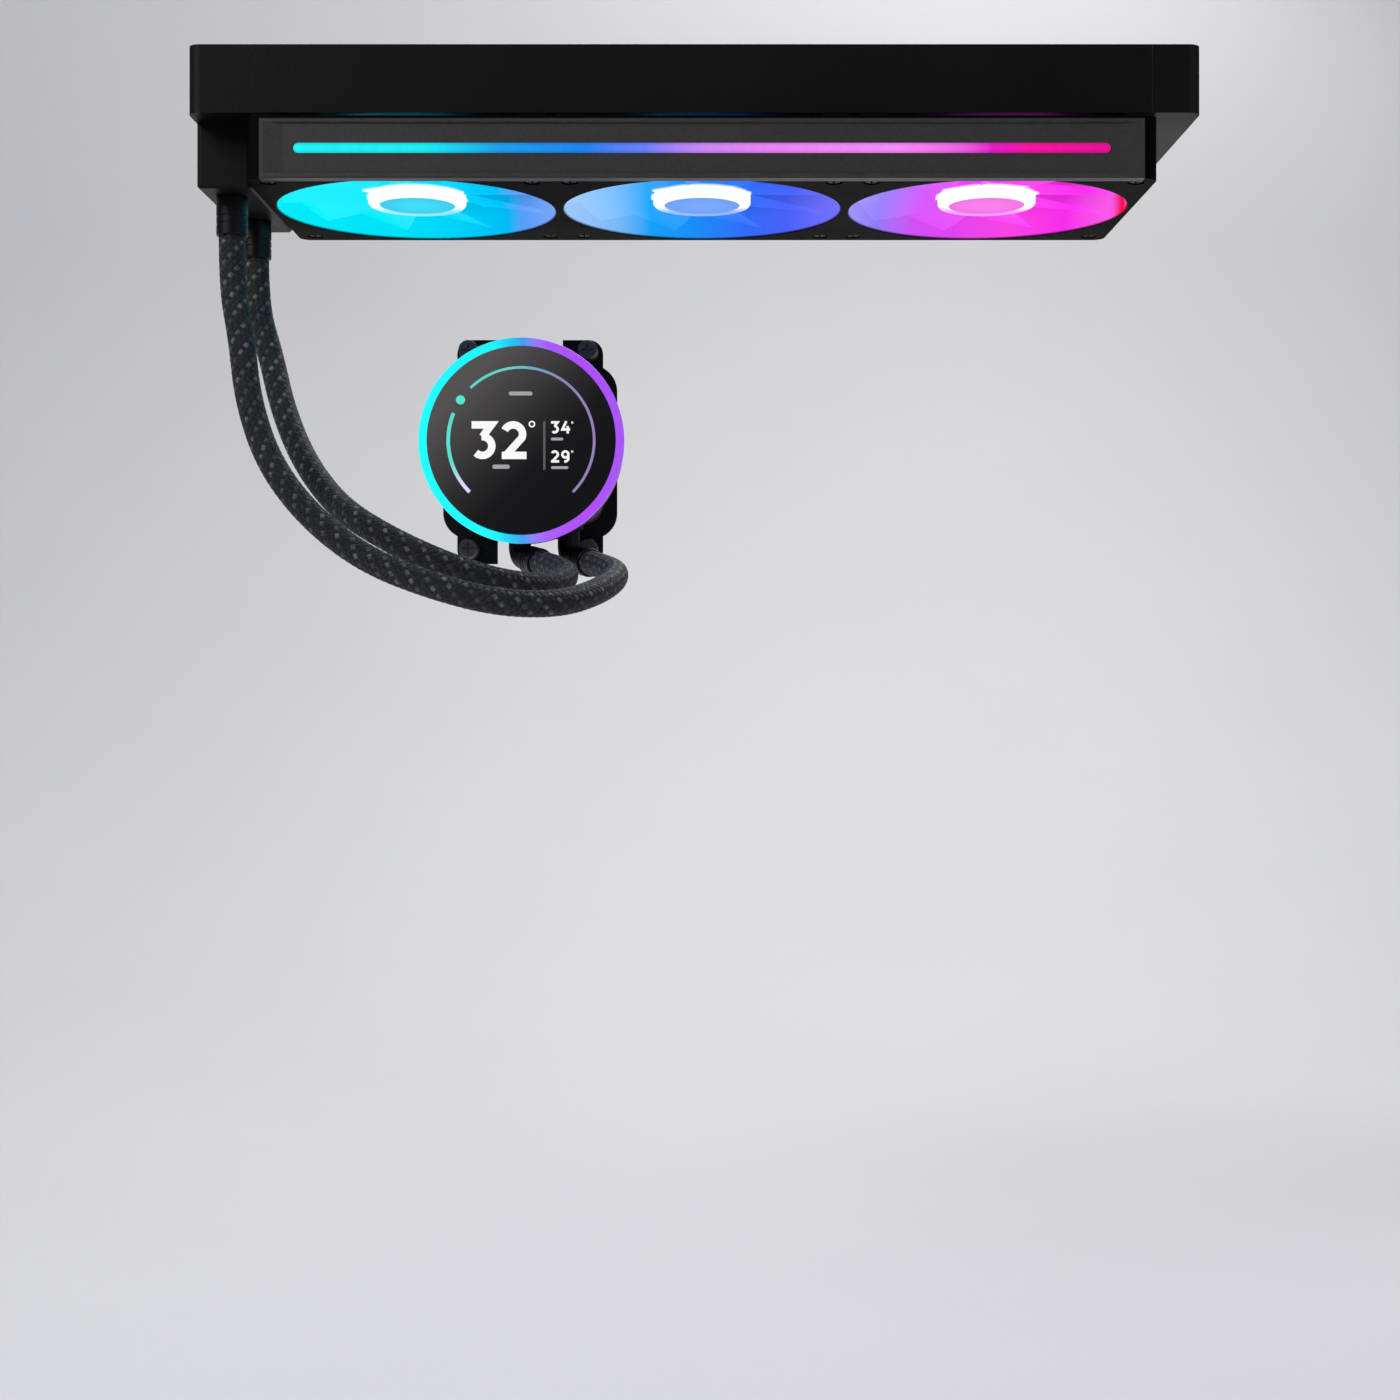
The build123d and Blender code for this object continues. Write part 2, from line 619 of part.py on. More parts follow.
def fan_coils():
    """Windings round the necks of the stator's poles."""
    coil = block(*COIL_X, -COIL_HALF_WIDTH, COIL_HALF_WIDTH,
                 STATOR_LOW - COIL_OVERHANG, STATOR_HIGH + COIL_OVERHANG)
    coil -= block(*COIL_X, -POLE_HALF_WIDTH, POLE_HALF_WIDTH, STATOR_LOW, STATOR_HIGH)
    return [Rot(0, 0, 360 * index / POLE_COUNT) * coil for index in range(POLE_COUNT)]


def blade_section(x, span, rise, camber, sweep_y, mid_z):
    """Thin arched section across the blade, in the plane at x."""
    along = Vector(span, rise).normalized()
    across = Vector(-along.Y, along.X)
    start = Vector(sweep_y - span / 2, -rise / 2)
    end = Vector(sweep_y + span / 2, rise / 2)
    middle = (start + end) / 2 + across * camber
    half = across * (BLADE_THICKNESS / 2)
    low = ThreePointArc(start - half * 0.5, middle - half, end - half * 0.5)
    high = ThreePointArc(end + half * 0.5, middle + half, start + half * 0.5)
    edges = [low, Line(low @ 1, high @ 0), high, Line(high @ 1, low @ 0)]
    plane = Plane(origin=(x, 0, mid_z), x_dir=(0, 1, 0), z_dir=(1, 0, 0))
    return plane * make_face(Wire(edges))


def fan_blade():
    """A wide swept blade, trimmed round at its tip and inside the hub's wall."""
    blade = loft([blade_section(*section) for section in BLADE_SECTIONS])
    blade &= rod(0, 0, FRAME_LOW, FRAME_TOP, BLADE_TIP_R)
    return blade - rod(0, 0, FRAME_LOW, FRAME_TOP, (HUB_R + HUB_BORE_R) / 2)


def fan_blades():
    """Hub cup with its sloped front and the blades, moulded in one piece."""
    hub = rod(0, 0, HUB_SHOULDER, HUB_TOP, HUB_R)
    slope = HUB_SHOULDER - HUB_FACE
    hub += Pos(0, 0, HUB_FACE + slope / 2) * Cone(HUB_FACE_R, HUB_R, slope)
    hub -= rod(0, 0, HUB_FLOOR, HUB_TOP, HUB_BORE_R)
    hub -= rod(0, 0, HUB_FACE, CAP_SEAT, CAP_R)
    hub += rod(0, 0, HUB_FLOOR, HUB_BOSS_TOP, HUB_BOSS_R)
    hub -= rod(0, 0, HUB_FLOOR, HUB_BOSS_TOP, SHAFT_R)
    blade = fan_blade()
    return hub + [Rot(0, 0, 360 * index / BLADE_COUNT) * blade for index in range(BLADE_COUNT)]


def hub_cap():
    """Round tinted cap, sunk a little into the front of the hub."""
    cap = rod(0, 0, CAP_FACE, CAP_SEAT, CAP_R - FIT_GAP)
    return fillet(cap.edges().sort_by(Axis.Z)[:1], CAP_ROUND)


def magnet_ring():
    """Magnet lining of the hub, round the stator."""
    ring = rod(0, 0, HUB_BOSS_TOP, MAGNET_TOP, HUB_BORE_R - FIT_GAP)
    return ring - rod(0, 0, HUB_BOSS_TOP, MAGNET_TOP, MAGNET_BORE_R)


def fan_shaft():
    return rod(0, 0, HUB_FLOOR, BEARING_TOP, SHAFT_R)


def light_bar_housing():
    """Long shallow cover with a sunk face, sloped ends and a slot for the diffuser."""
    cover = block(-BAR_HALF_LENGTH, BAR_HALF_LENGTH, BAR_FRONT, -HALF_WIDTH, BAR_LOW, BAR_TOP)
    cover = chamfer(cover.faces().sort_by(Axis.Y)[0].edges(), BAR_EDGE)
    face = BAR_FRONT + BAR_RECESS
    inner = BAR_HALF_LENGTH - BAR_RIM
    low, high = BAR_LOW + BAR_RIM, BAR_TOP - BAR_RIM
    sunk = Polyline(
        (-inner, BAR_FRONT), (inner, BAR_FRONT), (inner - BAR_END_SLOPE, face),
        (BAR_END_SLOPE - inner, face), close=True)
    cover -= extrude(Plane.XY.offset(low) * make_face(sunk), amount=high - low)
    cover -= block(-inner, inner, face + BAR_SKIN, -HALF_WIDTH, low, high)
    return cover - strip_shape(BAR_FRONT, face + BAR_SKIN, STRIP_LENGTH, STRIP_HEIGHT)


def strip_shape(y0, y1, length, height):
    """A bar with round ends on the light bar's centre line."""
    plane = Plane(origin=(0, y0, STRIP_Z), x_dir=(1, 0, 0), z_dir=(0, 1, 0))
    return extrude(plane * SlotOverall(length, height), amount=y1 - y0)


def light_bar_diffuser():
    """Milky strip, with a lip behind the slot."""
    inside = BAR_FRONT + BAR_RECESS + BAR_SKIN
    strip = strip_shape(BAR_FRONT + STRIP_SET_BACK, inside, STRIP_LENGTH, STRIP_HEIGHT)
    strip = fillet(strip.faces().sort_by(Axis.Y)[0].edges(), STRIP_ROUND)
    return strip + strip_shape(inside, inside + STRIP_LIP_DEPTH,
                               STRIP_LENGTH + STRIP_LIP, STRIP_HEIGHT + STRIP_LIP)


def light_bar_board():
    return block(-LED_BOARD_HALF_LENGTH, LED_BOARD_HALF_LENGTH, LED_BOARD_FRONT, -HALF_WIDTH,
                 STRIP_Z - LED_BOARD_HALF_HEIGHT, STRIP_Z + LED_BOARD_HALF_HEIGHT)


def light_bar_leds():
    pitch = STRIP_LENGTH / STRIP_LEDS
    led = block(-LED_HALF_LENGTH, LED_HALF_LENGTH, LED_BOARD_FRONT - LED_H, LED_BOARD_FRONT,
                STRIP_Z - LED_HALF_HEIGHT, STRIP_Z + LED_HALF_HEIGHT)
    return [Pos((index + 0.5) * pitch - STRIP_LENGTH / 2, 0, 0) * led
            for index in range(STRIP_LEDS)]


def fan_cable_socket():
    """Socket for the fan cable, on the back of the fan unit."""
    low_x, high_x = FAN_SOCKET_X
    low_z, high_z = FAN_SOCKET_Z
    floor = HALF_WIDTH + SOCKET_WALL
    socket = block(low_x, high_x, HALF_WIDTH, HALF_WIDTH + FAN_SOCKET_DEPTH, low_z, high_z)
    socket -= block(low_x + SOCKET_WALL, high_x - SOCKET_WALL, floor,
                    HALF_WIDTH + FAN_SOCKET_DEPTH, low_z + SOCKET_WALL, high_z - SOCKET_WALL)
    middle = (low_z + high_z) / 2
    pins = [block(x - PIN_HALF, x + PIN_HALF, floor, floor + PIN_LENGTH,
                  middle - PIN_HALF, middle + PIN_HALF) for x in FAN_PIN_XS]
    return socket + pins


# --- pump head: every piece is made round the Y axis, then moved to the pump's place ---

def display_glass():
    glass = rod_y(0, 0, GLASS_FRONT, GLASS_BACK, GLASS_R)
    return PUMP * chamfer(glass.edges().sort_by(Axis.Y)[:1], GLASS_EDGE)


def light_ring():
    ring = rod_y(0, 0, GLASS_FRONT, SHELL_FRONT, RING_OUTER)
    ring = fillet(ring.edges().sort_by(Axis.Y)[:1], RING_ROUND)
    return PUMP * (ring - rod_y(0, 0, GLASS_FRONT, SHELL_FRONT, RING_INNER))


def display_panel():
    """Round display with a thin black border round it."""
    mask = rod_y(0, 0, GLASS_BACK, MASK_BACK, MASK_R)
    return PUMP * (rod_y(0, 0, MASK_BACK, SHELL_FRONT, PANEL_R) + mask)


def ring_leds():
    led = block(*RING_LED_X, *RING_LED_Y, -RING_LED_HALF, RING_LED_HALF)
    return [PUMP * Rot(0, 360 * index / RING_LEDS, 0) * led for index in range(RING_LEDS)]


def pump_shell():
    """Round front cover that carries the display and its light ring."""
    shell = rod_y(0, 0, SHELL_FRONT, SHELL_BACK, SHELL_R)
    inside = SHELL_FRONT + SHELL_SKIN
    shell = fillet(shell.edges().sort_by(Axis.Y)[:1], EDGE)
    shell -= rod_y(0, 0, inside, SHELL_BACK, SHELL_R - SHELL_WALL)
    ribbon_slot = block(-RIBBON_HALF_WIDTH, RIBBON_HALF_WIDTH, SHELL_FRONT, inside, *RIBBON_SLOT_Z)
    return PUMP * (shell - ribbon_slot)


def pump_board():
    """Round circuit board behind the display."""
    return PUMP * rod_y(0, 0, *PUMP_BOARD_Y, PUMP_BOARD_R)


def pump_stator():
    """Laminated ring with inward poles round the rotor can."""
    front, back = PUMP_STATOR_Y
    ring = rod_y(0, 0, front, back, PUMP_STATOR_R) - rod_y(0, 0, front, back, PUMP_YOKE_BORE)
    pole = block(CAN_R + EDGE, PUMP_YOKE_BORE + EDGE, front, back,
                 -PUMP_POLE_HALF, PUMP_POLE_HALF)
    poles = [Rot(0, 360 * index / PUMP_POLES, 0) * pole for index in range(PUMP_POLES)]
    return PUMP * (ring + poles)


def pump_coils():
    front, back = PUMP_STATOR_Y
    coil = block(*PUMP_COIL_X, front - PUMP_COIL_OVERHANG, back + PUMP_COIL_OVERHANG,
                 -PUMP_COIL_HALF, PUMP_COIL_HALF)
    coil -= block(*PUMP_COIL_X, front, back, -PUMP_POLE_HALF, PUMP_POLE_HALF)
    return [PUMP * Rot(0, 360 * index / PUMP_POLES, 0) * coil for index in range(PUMP_POLES)]


def pump_body():
    """Pump block: front flange, rotor can, coolant chambers and the two hose ports."""
    body = slab_y(BODY_SIDE, BODY_SIDE, BODY_CORNER, FRONT_FLANGE_BACK, BODY_BACK)
    body += rod_y(0, 0, SHELL_BACK, FRONT_FLANGE_BACK, SHELL_R)
    body += slab_y(BASE_SIDE, BASE_SIDE, BODY_CORNER, BODY_BACK, BASE_BACK)
    body += rod_y(0, 0, CAN_FRONT, SHELL_BACK, CAN_R)
    body -= rod_y(0, 0, CAN_FRONT + CAN_WALL, IMPELLER_CHAMBER_FRONT, CAN_BORE)
    body -= rod_y(0, 0, IMPELLER_CHAMBER_FRONT, IMPELLER_CHAMBER_BACK, IMPELLER_CHAMBER_R)
    body -= rod_y(0, 0, IMPELLER_CHAMBER_BACK, BODY_BACK, INTAKE_R)
    body -= slab_y(CHAMBER_SIDE, CHAMBER_SIDE, CHAMBER_CORNER, BODY_BACK, BASE_BACK)
    body -= gasket_ring()
    supply_x = ELBOW_XS[0]
    body -= rod_y(supply_x, CHANNEL_Z, ELBOW_Y, BODY_BACK, CHANNEL_R)
    for x in ELBOW_XS:
        body -= rod(x, ELBOW_Y, -BODY_SIDE / 2, PORT_TOP, ELBOW_BORE)
    for x, z in plate_screw_places():
        body -= rod_y(x, z, BODY_BACK, BASE_BACK, PLATE_SCREW_R + FIT_GAP)
    return PUMP * body


def gasket_ring():
    """Square ring in a groove round the coolant chamber."""
    side, corner = CHAMBER_SIDE + 4, CHAMBER_CORNER + 2
    front = BASE_BACK - GASKET_DEPTH
    inner_side, inner_corner = side - 2 * GASKET_WIDTH, corner - GASKET_WIDTH
    outer = slab_y(side, side, corner, front, BASE_BACK)
    return outer - slab_y(inner_side, inner_side, inner_corner, front, BASE_BACK)


def plate_screw_places():
    places = [-PLATE_SCREW, 0, PLATE_SCREW]
    return [(x, z) for x in places for z in places if (x, z) != (0, 0)]


def cold_plate():
    """Copper plate with fine fins towards the coolant chamber."""
    plate = slab_y(PLATE_SIDE, PLATE_SIDE, PLATE_CORNER, BASE_BACK, PLATE_BACK)
    for x, z in plate_screw_places():
        plate -= rod_y(x, z, BASE_BACK, PLATE_BACK, PLATE_SCREW_R + FIT_GAP)
        plate -= rod_y(x, z, PLATE_BACK - PLATE_SCREW_HEAD, PLATE_BACK,
                       PLATE_SCREW_HEAD_R + FIT_GAP)
    first = -PLATE_FIN_PITCH * (PLATE_FIN_COUNT - 1) / 2
    for index in range(PLATE_FIN_COUNT):
        x = first + PLATE_FIN_PITCH * index
        plate += block(x - PLATE_FIN_HALF, x + PLATE_FIN_HALF, BASE_BACK - PLATE_FIN_DEPTH,
                       BASE_BACK, -PLATE_FIN_REACH, PLATE_FIN_REACH)
    return PUMP * plate


def cold_plate_screws():
    """Sunk screws with a cross recess, a little below the plate's face."""
    seat = PLATE_BACK - PLATE_SCREW_HEAD
    head_back = PLATE_BACK - PLATE_SCREW_SINK
    screw = rod_y(0, 0, BODY_BACK + EDGE, seat, PLATE_SCREW_R)
    screw += rod_y(0, 0, seat, head_back, PLATE_SCREW_HEAD_R)
    arm = block(-PLATE_CROSS[0], PLATE_CROSS[0], head_back - PLATE_CROSS[2], head_back,
                -PLATE_CROSS[1], PLATE_CROSS[1])
    screw -= [arm, Rot(0, 90, 0) * arm]
    return [PUMP * Pos(x, 0, z) * screw for x, z in plate_screw_places()]


def pump_impeller():
    """Magnet rotor in the can with a vaned disc in the impeller chamber."""
    front, disc_front = ROTOR_Y
    rotor = rod_y(0, 0, front, disc_front, ROTOR_R)
    rotor += rod_y(0, 0, disc_front, DISC_BACK, DISC_R)
    rotor += rod_y(0, 0, DISC_BACK, IMPELLER_BACK, IMPELLER_HUB_R)
    vane = block(*VANE_X, DISC_BACK, VANE_BACK, -VANE_HALF, VANE_HALF)
    rotor += [Rot(0, 360 * index / VANE_COUNT, 0) * vane for index in range(VANE_COUNT)]
    return PUMP * (rotor - rod_y(0, 0, front, IMPELLER_BACK, PIN_R + BEARING_GAP))


def pump_shaft():
    """Fixed ceramic pin on which the impeller turns."""
    return PUMP * rod_y(0, 0, CAN_FRONT + CAN_WALL, PIN_BACK, PIN_R)


def pump_cable_socket():
    """Socket for the pump's cable, on the upper wall of the pump block."""
    low = BODY_SIDE / 2
    top = low + PUMP_SOCKET_H
    floor = low + PUMP_SOCKET_WALL
    front, back = PUMP_SOCKET_Y
    inside = PUMP_SOCKET_HALF_X - PUMP_SOCKET_WALL
    middle = (front + back) / 2
    socket = block(-PUMP_SOCKET_HALF_X, PUMP_SOCKET_HALF_X, front, back, low, top)
    socket -= block(-inside, inside, front + PUMP_SOCKET_WALL, back - PUMP_SOCKET_WALL, floor, top)
    tongue = block(-TONGUE_HALF_X, TONGUE_HALF_X, middle - PIN_HALF, middle + PIN_HALF,
                   floor, floor + TONGUE_H)
    return PUMP * (socket + tongue)


def pump_bracket():
    """Steel bracket round the pump block with an ear at each socket hole."""
    ear_width, ear_height = 2 * SOCKET_X + EAR_MARGIN, 2 * SOCKET_Z + EAR_MARGIN
    opening = BODY_SIDE + BRACKET_GAP
    plate = slab_y(ear_width, ear_height, EAR_MARGIN / 2, BRACKET_FRONT, BODY_BACK)
    plate -= block(-EAR_GAP / 2, EAR_GAP / 2, BRACKET_FRONT, BODY_BACK, -ear_height, ear_height)
    plate += slab_y(BRACKET_SIDE, BRACKET_SIDE, BRACKET_CORNER, BRACKET_FRONT, BODY_BACK)
    plate -= slab_y(opening, opening, BODY_CORNER, BRACKET_FRONT, BODY_BACK)
    for x, z in socket_places():
        plate -= rod_y(x, z, BRACKET_FRONT, BODY_BACK, SCREW_CLEARANCE_R)
    return PUMP * plate


def socket_places():
    return [(x, z) for x in (-SOCKET_X, SOCKET_X) for z in (-SOCKET_Z, SOCKET_Z)]


def thumbscrew(x, z):
    """Knurled captive screw with a plain shank and a threaded tip."""
    front, back = KNOB_Y
    half_length, half_width = KNOB_SLOT_HALF
    knob = chamfer(rod_y(0, 0, front, back, KNOB_R).edges(), EDGE)
    flute = rod_y(KNOB_R, 0, front + FLUTE_INSET, back - FLUTE_INSET, FLUTE_R)
    knob -= [Rot(0, 360 * index / KNOB_FLUTES, 0) * flute for index in range(KNOB_FLUTES)]
    slot = block(-half_length, half_length, front, front + KNOB_SLOT_DEPTH,
                 -half_width, half_width)
    knob -= [slot, Rot(0, 90, 0) * slot]
    screw = knob + rod_y(0, 0, back, BASE_BACK, STUD_SHANK_R)
    screw += rod_y(0, 0, BASE_BACK, STUD_TIP, STUD_R)
    return PUMP * Pos(x, 0, z) * chamfer(screw.edges().sort_by(Axis.Y)[-1:], EDGE)


def bracket_spring(x, z):
    """Short compression spring between the thumbscrew's head and the bracket."""
    path = Helix(pitch=SPRING_PITCH, height=SPRING_LENGTH, radius=SPRING_R)
    section = Plane(origin=path @ 0, z_dir=path % 0) * Circle(SPRING_WIRE_R)
    coil = sweep(section, path=path)
    first_y = KNOB_Y[1] + SPRING_WIRE_R + FIT_GAP
    return PUMP * Pos(x, first_y, z) * Rot(-90, 0, 0) * coil


# --- hoses and their elbows ---

def elbow_frame(offset_x):
    """The corner of an elbow and the point where its hose begins."""
    corner = Vector(PUMP_X + offset_x, ELBOW_Y, ELBOW_CORNER_Z)
    route = SUPPLY_ROUTE if offset_x == ELBOW_XS[0] else RETURN_ROUTE
    return corner, Vector(*route[-1])


def pump_elbow(offset_x):
    """Bent pipe from the pump's lower wall to the hose collar."""
    corner, hose_start = elbow_frame(offset_x)
    top = Vector(corner.X, corner.Y, PUMP_Z - BODY_SIDE / 2)
    outlet = hose_start + (corner - hose_start).normalized() * NECK_GAP
    path = FilletPolyline(top, corner, outlet, radius=ELBOW_FILLET)
    collar_start = hose_start + (corner - hose_start).normalized() * ELBOW_COLLAR
    thick = FilletPolyline(top, corner, collar_start, radius=ELBOW_FILLET)
    outer = sweep(Plane(origin=top, z_dir=(0, 0, -1)) * Circle(ELBOW_R), path=thick)
    seat = Plane(origin=collar_start, z_dir=hose_start - corner)
    outer += extrude(seat * Circle(NECK_R), amount=ELBOW_COLLAR - NECK_GAP)
    outer += rod(top.X, top.Y, top.Z - ELBOW_FLANGE_H, top.Z, ELBOW_FLANGE_R)
    bore = sweep(Plane(origin=top, z_dir=(0, 0, -1)) * Circle(NECK_BORE), path=path)
    return outer - bore


def elbow_collar(offset_x):
    """The crimped sleeve over the hose's end at the pump."""
    corner, hose_start = elbow_frame(offset_x)
    along = (hose_start - corner).normalized()
    seat = Plane(origin=hose_start - along * ELBOW_COLLAR, z_dir=along)
    return crimped_sleeve(seat, ELBOW_COLLAR, ELBOW_GROOVES)


def hose(name, route):
    """A round hose along straight runs joined by arcs as large as the runs allow."""
    points = [Vector(*point) for point in route]
    radii = []
    for before, here, after in zip(points, points[1:], points[2:]):
        turn = math.radians((here - before).get_angle(after - here))
        shorter = min((here - before).length, (after - here).length)
        radii.append(ARC_SHARE * shorter / math.tan(turn / 2))
    path = FilletPolyline(*points, radius=radii)
    start = Plane(origin=path @ 0, z_dir=path % 0)
    tube = sweep(start * Circle(HOSE_D / 2), path=path)
    expected = math.pi * (HOSE_D / 2) ** 2 * path.length
    print(name, "length", round(path.length, 1), "radii", [round(radius) for radius in radii],
          "volume ratio", round(tube.volume / expected, 4))
    return tube


def main():
    os.makedirs("parts", exist_ok=True)
    write("left_tank", left_tank())
    write("right_tank", right_tank())
    write("left_header_plate", header_plate(-1))
    write("right_header_plate", header_plate(1))
    write("coolant_tubes", *coolant_tubes())
    write("radiator_fins", *fin_strips())
    write("front_side_plate", side_plate(-1))
    write("back_side_plate", side_plate(1))
    write("port_block", port_block())
    write("fill_plug", fill_plug())
    write("radiator_fittings", *[radiator_fitting(y) for y in PORT_YS])

    write("fan_frame", fan_frame())
    write("fan_pads", *fan_pads())
    write("fan_screws", *fan_screws())
    write("fan_bearings", *[Pos(x, 0, 0) * fan_bearing() for x in FAN_XS])
    write("fan_boards", *[Pos(x, 0, 0) * fan_board() for x in FAN_XS])
    write("fan_stators", *[Pos(x, 0, 0) * fan_stator() for x in FAN_XS])
    write("fan_coils", *[Pos(x, 0, 0) * coil for x in FAN_XS for coil in fan_coils()])
    write("fan_cable_socket", fan_cable_socket())
    blades = fan_blades()
    for number, x in enumerate(FAN_XS, start=1):
        place = Pos(x, 0, 0)
        write(f"fan_{number}_blades", place * blades)
        write(f"fan_{number}_hub_cap", place * hub_cap())
        write(f"fan_{number}_magnet_ring", place * magnet_ring())
        write(f"fan_{number}_shaft", place * fan_shaft())

    write("light_bar_housing", light_bar_housing())
    write("light_bar_diffuser", light_bar_diffuser())
    write("light_bar_board", light_bar_board())
    write("rgb_leds", *light_bar_leds(), *ring_leds(), *fan_leds())

    write("display_glass", display_glass())
    write("light_ring", light_ring())
    write("display_panel", display_panel())
    write("pump_shell", pump_shell())
    write("pump_board", pump_board())
    write("pump_stator", pump_stator())
    write("pump_coils", *pump_coils())
    write("pump_body", pump_body())
    write("pump_impeller", pump_impeller())
    write("pump_shaft", pump_shaft())
    write("pump_cable_socket", pump_cable_socket())
    write("cold_plate", cold_plate())
    write("cold_plate_gasket", PUMP * gasket_ring())
    write("cold_plate_screws", *cold_plate_screws())
    write("pump_bracket", pump_bracket())
    write("bracket_springs", *[bracket_spring(x, z) for x, z in socket_places()])
    for number, (x, z) in enumerate(socket_places(), start=1):
        write(f"thumbscrew_{number}", thumbscrew(x, z))

    supply_x, return_x = ELBOW_XS
    write("supply_elbow", pump_elbow(supply_x))
    write("return_elbow", pump_elbow(return_x))
    collars = [radiator_collar(y) for y in PORT_YS] + [elbow_collar(x) for x in ELBOW_XS]
    write("hose_collars", *collars)
    write("supply_hose", hose("supply_hose", SUPPLY_ROUTE))
    write("return_hose", hose("return_hose", RETURN_ROUTE))


main()
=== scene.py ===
import bpy
import json
import math
import numpy as np
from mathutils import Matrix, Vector


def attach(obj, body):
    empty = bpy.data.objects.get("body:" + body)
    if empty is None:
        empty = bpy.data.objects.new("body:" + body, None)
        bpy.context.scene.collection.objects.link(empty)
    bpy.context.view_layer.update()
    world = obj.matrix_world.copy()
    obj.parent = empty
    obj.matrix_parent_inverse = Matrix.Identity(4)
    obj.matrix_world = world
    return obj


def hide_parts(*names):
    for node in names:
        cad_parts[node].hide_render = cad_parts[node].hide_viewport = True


# The looks of a closed-loop liquid cooler.  Metres, in the row's frame: +X along the radiator,
# +Y away from the light bar, +Z up, origin at the centre of the radiator's upper face.

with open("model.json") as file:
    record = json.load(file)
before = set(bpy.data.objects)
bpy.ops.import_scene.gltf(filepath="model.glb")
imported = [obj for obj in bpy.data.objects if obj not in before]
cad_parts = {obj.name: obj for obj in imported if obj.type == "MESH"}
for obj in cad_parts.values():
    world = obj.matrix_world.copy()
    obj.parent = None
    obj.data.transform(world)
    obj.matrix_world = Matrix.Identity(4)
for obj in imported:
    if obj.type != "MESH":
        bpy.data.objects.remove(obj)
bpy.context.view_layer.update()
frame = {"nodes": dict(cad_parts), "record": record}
nodes = frame["nodes"]

MM = 0.001
ROOT = "cooler"
FAN_X = {1: -0.120, 2: 0.0, 3: 0.120}
DUCT_R = 57.5 * MM
HUB_R = 20.5 * MM
PUMP_X = -79.0 * MM
PUMP_Z = -146.0 * MM
HOSE_D = 11.0 * MM
ROUTES = {
    "supply_hose": [
        (-0.1925, -0.026, -0.069), (-0.1925, -0.026, -0.090), (-0.1875, -0.031, -0.112),
        (-0.184, -0.036, -0.137), (-0.1745, -0.042, -0.163), (-0.157, -0.0495, -0.185),
        (-0.134, -0.058, -0.2025), (-0.108, -0.067, -0.213), (-0.080, -0.0665, -0.2205),
        (-0.056, -0.053, -0.2205), (-0.042, -0.031, -0.2145), (-0.0358, -0.0065, -0.2082),
        (-0.0378, 0.0185, -0.2029), (-0.0492, 0.0409, -0.1991),
    ],
    "return_hose": [
        (-0.1925, 0.022, -0.069), (-0.1925, 0.022, -0.0895), (-0.186, 0.0215, -0.111),
        (-0.1795, 0.013, -0.134), (-0.169, 0.0015, -0.1565), (-0.1545, -0.0165, -0.1745),
        (-0.139, -0.0385, -0.1865), (-0.115, -0.0515, -0.1995), (-0.088, -0.048, -0.210),
        (-0.0665, -0.0315, -0.213), (-0.0565, -0.0072, -0.2088), (-0.0595, 0.018, -0.203),
        (-0.0712, 0.0409, -0.1991),
    ],
}


# --- camera ---

def make_camera():
    """Level camera below the fans, square to the display, as far away as the photographer's."""
    data = bpy.data.cameras.new("camera")
    data.lens = 55.47
    data.sensor_width = 36.0
    data.shift_x = -0.0014
    data.shift_y = -0.0171
    data.clip_start = 0.01
    data.clip_end = 20.0
    camera = bpy.data.objects.new("camera", data)
    camera.location = (0.0, -0.910, -0.249)
    camera.rotation_euler = (math.radians(90), 0, 0)
    bpy.context.scene.collection.objects.link(camera)
    bpy.context.scene.camera = camera


make_camera()


# --- small helpers ---

def srgb(red, green, blue):
    """A linear colour, from 0 to 255 as a screen shows it."""
    def linear(value):
        share = value / 255
        return share / 12.92 if share <= 0.04045 else ((share + 0.055) / 1.055) ** 2.4
    return (linear(red), linear(green), linear(blue), 1.0)


def link_object(name, data):
    made = bpy.data.objects.new(name, data)
    bpy.context.scene.collection.objects.link(made)
    return made


def mesh_object(name, points, faces, smooth=False):
    mesh = bpy.data.meshes.new(name)
    mesh.from_pydata([tuple(point) for point in points], [], [tuple(face) for face in faces])
    mesh.validate()
    mesh.update()
    if smooth:
        mesh.polygons.foreach_set("use_smooth", [True] * len(mesh.polygons))
    return link_object(name, mesh)


def dress(target, made):
    """Give an object one material."""
    target.data.materials.clear()
    target.data.materials.append(made)


# --- materials ---

